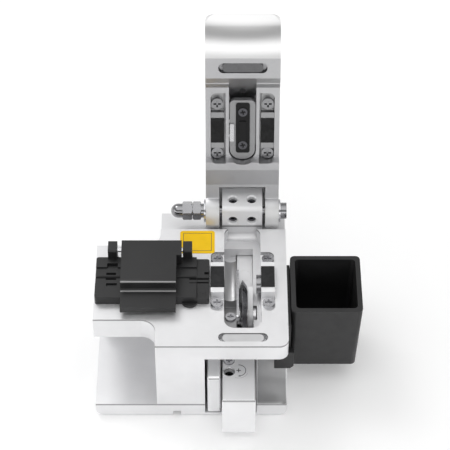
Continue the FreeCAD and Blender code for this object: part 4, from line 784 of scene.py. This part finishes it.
def add_ink_arc(work, radius, width, turn, face):
    inner = arc(MARK_CENTRE, radius - width / 2, *turn, MARK_STEPS)
    outer = arc(MARK_CENTRE, radius + width / 2, *turn, MARK_STEPS)
    add_ink(work, inner + outer[::-1], face)


def build_marks(work):
    face = box_in_mm("slide_handle")[1][2]
    add_ink(work, around(MARK_CENTRE, plus_outline(PLUS_REACH, PLUS_HALF)), face)
    add_ink_arc(work, ARROW_RADIUS, MARK_WIDTH, ARROW_TURN, face)
    lowest = (MARK_CENTRE[0], MARK_CENTRE[1] - ARROW_RADIUS)
    add_ink(work, around(lowest, ARROW_HEAD), face)


def build_outer_arc(work):
    add_ink_arc(work, OUTER_RADIUS, OUTER_WIDTH, OUTER_TURN, box_in_mm("slide_handle")[1][2])


# Painted shade in the cross slots of the two anvil screws, dark on the paler heads

CROSS_REACH = 0.80
CROSS_HALF = 0.21
CROSS_TURN = 20.0             # degrees about the screw


def build_cross_shades(work):
    places = lid_places("anvil_screws")
    between = middle([along for across, along, depth in places])
    for side in (-1, 1):
        across, along, depth = zip(*[place for place in places if (place[1] - between) * side > 0])
        cross = around((middle(across), middle(along)), plus_outline(CROSS_REACH, CROSS_HALF), CROSS_TURN)
        face = min(depth)
        add_solid(work, cross, (face - INK_HEIGHT, face + INK_SINK), lid_directions())


# Rounded lower end of the anvil carrier, in the round end of the lid's recess

CHIN_LENGTH = 5.2
CHIN_ROUND = 3.7
CHIN_STEPS = 8


def build_chin(work):
    across, along, depth = zip(*lid_places("anvil_carrier"))
    left, right, top = min(across), max(across), min(along)
    round_middle = top - CHIN_LENGTH + CHIN_ROUND
    outline = [(right, top), (left, top)]
    outline += arc((left + CHIN_ROUND, round_middle), CHIN_ROUND, 180, 270, CHIN_STEPS)
    outline += arc((right - CHIN_ROUND, round_middle), CHIN_ROUND, 270, 360, CHIN_STEPS)
    add_solid(work, outline, (min(depth), max(depth)), lid_directions())


# Painted shade: a dark disc at the bottom of the small hole above the anvil, placed along and into the lid

HOLE_ALONG = 87.39
HOLE_RADIUS = 1.02
HOLE_DEPTHS = (16.6, 16.9)
HOLE_STEPS = 24


def build_hole_shade(work):
    low, high = box_in_mm("lid_arm")
    centre = (middle((low[0], high[0])), HOLE_ALONG)
    add_solid(work, circle(centre, HOLE_RADIUS, HOLE_STEPS), HOLE_DEPTHS, lid_directions())


# Painted shade lines where the fine grooves of the holder run: left, front, right, back and height of the
# face

HOLDER_GROOVE_SHADES = (
    (-27.66, -3.80, -24.5, -2.85, 38.9),
    (-27.75, -5.95, -24.4, -5.32, 38.9),
    (-0.5, -5.90, 1.85, -5.32, 38.9),
    (-0.5, -7.60, 1.85, -7.10, 38.9),
    (1.95, -5.45, 5.9, -4.95, 38.4),
    (1.95, -7.00, 5.9, -6.45, 38.4),
    (4.4, -3.10, 5.9, -2.15, 38.4),
)


def build_groove_shades(work):
    for *edges, face in HOLDER_GROOVE_SHADES:
        add_ink(work, rectangle(*edges), face)


def add_piece(name, build, finish, body, edge_round=0.0):
    """Mesh piece that a function builds, on a body of the mechanism."""
    mesh = bpy.data.meshes.new(name)
    work = bmesh.new()
    build(work)
    bmesh.ops.recalc_face_normals(work, faces=work.faces)
    work.to_mesh(mesh)
    work.free()
    piece = bpy.data.objects.new(name, mesh)
    bpy.context.scene.collection.objects.link(piece)
    mesh.materials.append(finish_named(finish))
    if edge_round:
        bevel = piece.modifiers.new("edge_round", "BEVEL")
        bevel.width = edge_round * MM
        bevel.segments = ROUND_SEGMENTS
    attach(piece, body)
    return piece


BRACKET_ROUND = 0.15
CHIN_EDGE_ROUND = 0.16


def add_small_pieces():
    add_piece("carrier_plugs", build_plugs, "insert_aluminium", "carriage")
    add_piece("slot_ledge", build_slot_ledge, "insert_aluminium", "base")
    bracket = add_piece("bin_bracket_body", build_bracket, "bin_black", "base", BRACKET_ROUND)
    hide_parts("bin_bracket")
    add_piece("label_border", build_border, "marking_ink", "base")
    add_piece("slide_marks", build_marks, "marking_ink", "carriage")
    add_piece("anvil_screw_cross_shades", build_cross_shades, "anvil_black", "anvil_set")
    add_piece("anvil_carrier_chin", build_chin, "carrier_metal", "anvil_set", CHIN_EDGE_ROUND)
    add_piece("lid_hole_shade", build_hole_shade, "anvil_black", "lid")
    add_piece("holder_groove_shades", build_groove_shades, "groove_shade_black", "base")
    add_piece("slide_outer_arc", build_outer_arc, "faint_marking", "carriage")


def set_picture():
    """Plain photographic response, so that white paper stays white and black stays black."""
    look = bpy.context.scene.view_settings
    look.view_transform = "Standard"
    look.look = "None"


set_picture()
add_camera()
add_key_panel()
add_tent()
add_floor()
dress_nodes()
soften_edges()
add_small_pieces()
